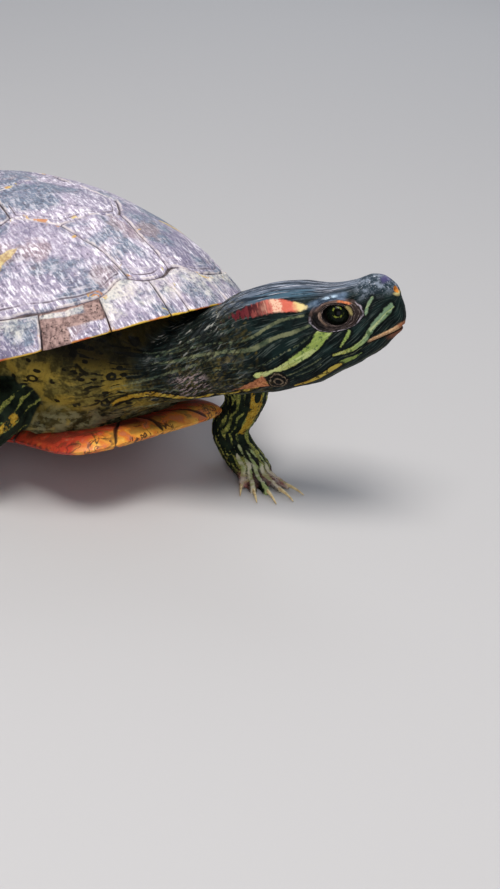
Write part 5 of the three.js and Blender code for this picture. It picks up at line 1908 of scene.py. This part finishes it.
def claws(material):
    roots, yaws, lengths = [], [], []
    for limb in LIMBS.values():
        for root, yaw, length, clawed in toes_of(limb):
            if clawed:
                roots.append(root + heading(yaw) * (length - 0.2) + [0, 0, 1.4])
                yaws.append(rad(yaw))
                share = length / limb["foot"]["length"]
                lengths.append((limb["foot"]["claw"] * (0.5 + 0.5 * share) + 1.3) * MM)
    mesh = bpy.data.meshes.new("claws")
    mesh.from_pydata((np.array(roots) * MM).tolist(), [], [])
    set_values(mesh, {"yaw": yaws, "length": lengths})
    piece = placed("claws", mesh)
    grow = piece.modifiers.new("grow", "NODES")
    grow.node_group = claw_tree(material)
    identifiers = {s.name: s.identifier for s in grow.node_group.interface.items_tree if s.in_out == "INPUT"}
    grow[identifiers["Base radius"]] = 0.08
    grow[identifiers["Droop"]] = 0.12
    return applied(piece)


# ---------------------------------------------------------------- assembly
# Depth of the notches between rim plates in millimetres, deeper from one plate on.
NUCHAL_NOTCH, NOTCH, REAR_NOTCH, REAR_FROM = 0.4, 0.8, 1.5, 7
WORN_PLATE = "marginal_right_02"


def wear_shell():
    horn = carapace_finish()
    for seed, (name, (loop, heart)) in enumerate(scute_outlines().items()):
        verts, faces, values = scute(loop, heart, 100 + 7 * seed)
        values.update(lip=np.full(len(verts), NO_LIP), worn=np.zeros(len(verts)), fore=np.zeros(len(verts)))
        piece = make_piece(f"scute_{name}", verts, faces, horn, values)
        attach(piece, "root")
        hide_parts(name)
    run = HALF_NUCHAL + (RIM_RUN[-1] - HALF_NUCHAL) * np.arange(MARGINALS + 1) / MARGINALS
    rim = {"nuchal": (-HALF_NUCHAL, HALF_NUCHAL, 1, 301, NUCHAL_NOTCH)}
    for k in range(MARGINALS):
        for side, left in SIDES:
            notch = REAR_NOTCH if k >= REAR_FROM else NOTCH
            rim[f"marginal_{side}_{k + 1:02d}"] = (run[k], run[k + 1], left, 310 + 5 * k + (left > 0), notch)
    for name, (s0, s1, left, seed, notch) in rim.items():
        verts, faces, values = marginal(s0, s1, left, seed, notch)
        values["worn"] = np.zeros(len(verts)) + (name == WORN_PLATE)
        piece = make_piece(f"scute_{name}", verts, faces, horn, values)
        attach(piece, "root")
        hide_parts(name)
    bone = make_piece("shell_bone", *bone_shell(), bone_finish())
    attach(bone, "root")


def wear_plastron():
    horn = plastron_finish()
    for i, (loop, free) in enumerate(plastron_plates()):
        halves = [plastron_plate(loop, free, left, 400 + 9 * i + left) for left in (1, -1)]
        verts, faces = joined([half[:2] for half in halves])
        values = {key: np.concatenate([half[2][key] for half in halves]) for key in halves[0][2]}
        piece = make_piece(f"plate_{PLASTRON_PAIRS[i]}", verts, faces, horn, values)
        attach(piece, "root")
        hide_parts(f"plastron_{PLASTRON_PAIRS[i]}")


def wear_flesh():
    skin, tubes = flesh()
    mesh = skin.data
    points = points_of(mesh)
    values = flesh_values(points, tubes)
    points = creased(points, read(mesh, "normal"), values)
    points[:, 2] = np.maximum(points[:, 2], FLOOR_GAP)
    set_points(mesh, points)
    set_values(mesh, values)
    mesh.materials.clear()
    mesh.materials.append(skin_finish())
    set_smooth(mesh)
    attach(skin, "root")
    nodes = ["head", "jaw", "neck", "tail", "trunk"]
    for name in LIMBS:
        nodes += [name, f"{name}_foot"]
    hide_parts(*nodes)
    wet = eye_finish()
    for side, left in SIDES:
        verts, faces, values = eyeball(left)
        eye = make_piece(f"eyeball_{side}", verts, faces, wet, values)
        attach(eye, "root")
        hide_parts(f"eye_{side}")
    nails = claws(claw_finish())
    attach(nails, "root")


def set_stage():
    f = Finish("studio_floor", Roughness=0.9)
    f.shader.inputs["Base Color"].default_value = colour(190, 188, 188)
    bpy.ops.mesh.primitive_plane_add(size=8, location=(0, 0, 0))
    floor = bpy.context.object
    floor.name = "studio_floor"
    floor.data.materials.append(f.material)
    floor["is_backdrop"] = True
    world = bpy.data.worlds.new("studio")
    world.use_nodes = True
    backdrop = next(n for n in world.node_tree.nodes if n.type == "BACKGROUND")
    backdrop.inputs["Color"].default_value = (0.82, 0.88, 1, 1)
    backdrop.inputs["Strength"].default_value = 0.3
    bpy.context.scene.world = world
    bpy.context.scene.view_settings.view_transform = "Standard"
    aim = Vector((0.12, 0, 0.05))
    for name, at, size, watts, tint in (
        ("key", (0.3, -0.3, 1.1), 0.5, 12, (1, 0.97, 0.93)),
        ("front", (1.0, -0.7, 0.5), 0.6, 3.2, (0.93, 0.96, 1)),
        ("back", (-0.5, 0.9, 0.8), 0.8, 3.6, (0.9, 0.95, 1)),
    ):
        lamp = bpy.data.lights.new(name, "AREA")
        lamp.size, lamp.energy, lamp.color = size, watts, tint
        holder = placed(name, lamp)
        holder.location = at
        holder.rotation_euler = (aim - Vector(at)).to_track_quat("-Z", "Y").to_euler()


CAMERA_AT = Vector((547.69, -359.28, 278.3))
CAMERA_RIGHT, CAMERA_UP = Vector((0.68499, 0.72107, 0.10418)), Vector((-0.37967, 0.23126, 0.89575))
FOCAL_LENGTH, SENSOR = 67.2, 36


def set_camera():
    lens = bpy.data.cameras.new("camera")
    lens.sensor_width, lens.sensor_fit, lens.lens = SENSOR, "AUTO", FOCAL_LENGTH
    lens.clip_start = 0.01
    camera = placed("camera", lens)
    turn = Matrix((CAMERA_RIGHT, CAMERA_UP, CAMERA_RIGHT.cross(CAMERA_UP))).transposed()
    camera.matrix_world = Matrix.Translation(CAMERA_AT * MM) @ turn.to_4x4()
    bpy.context.scene.camera = camera


set_camera()
set_stage()
wear_shell()
wear_plastron()
wear_flesh()
[[list(corner) for corner in box] for box in (cad_box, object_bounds())]
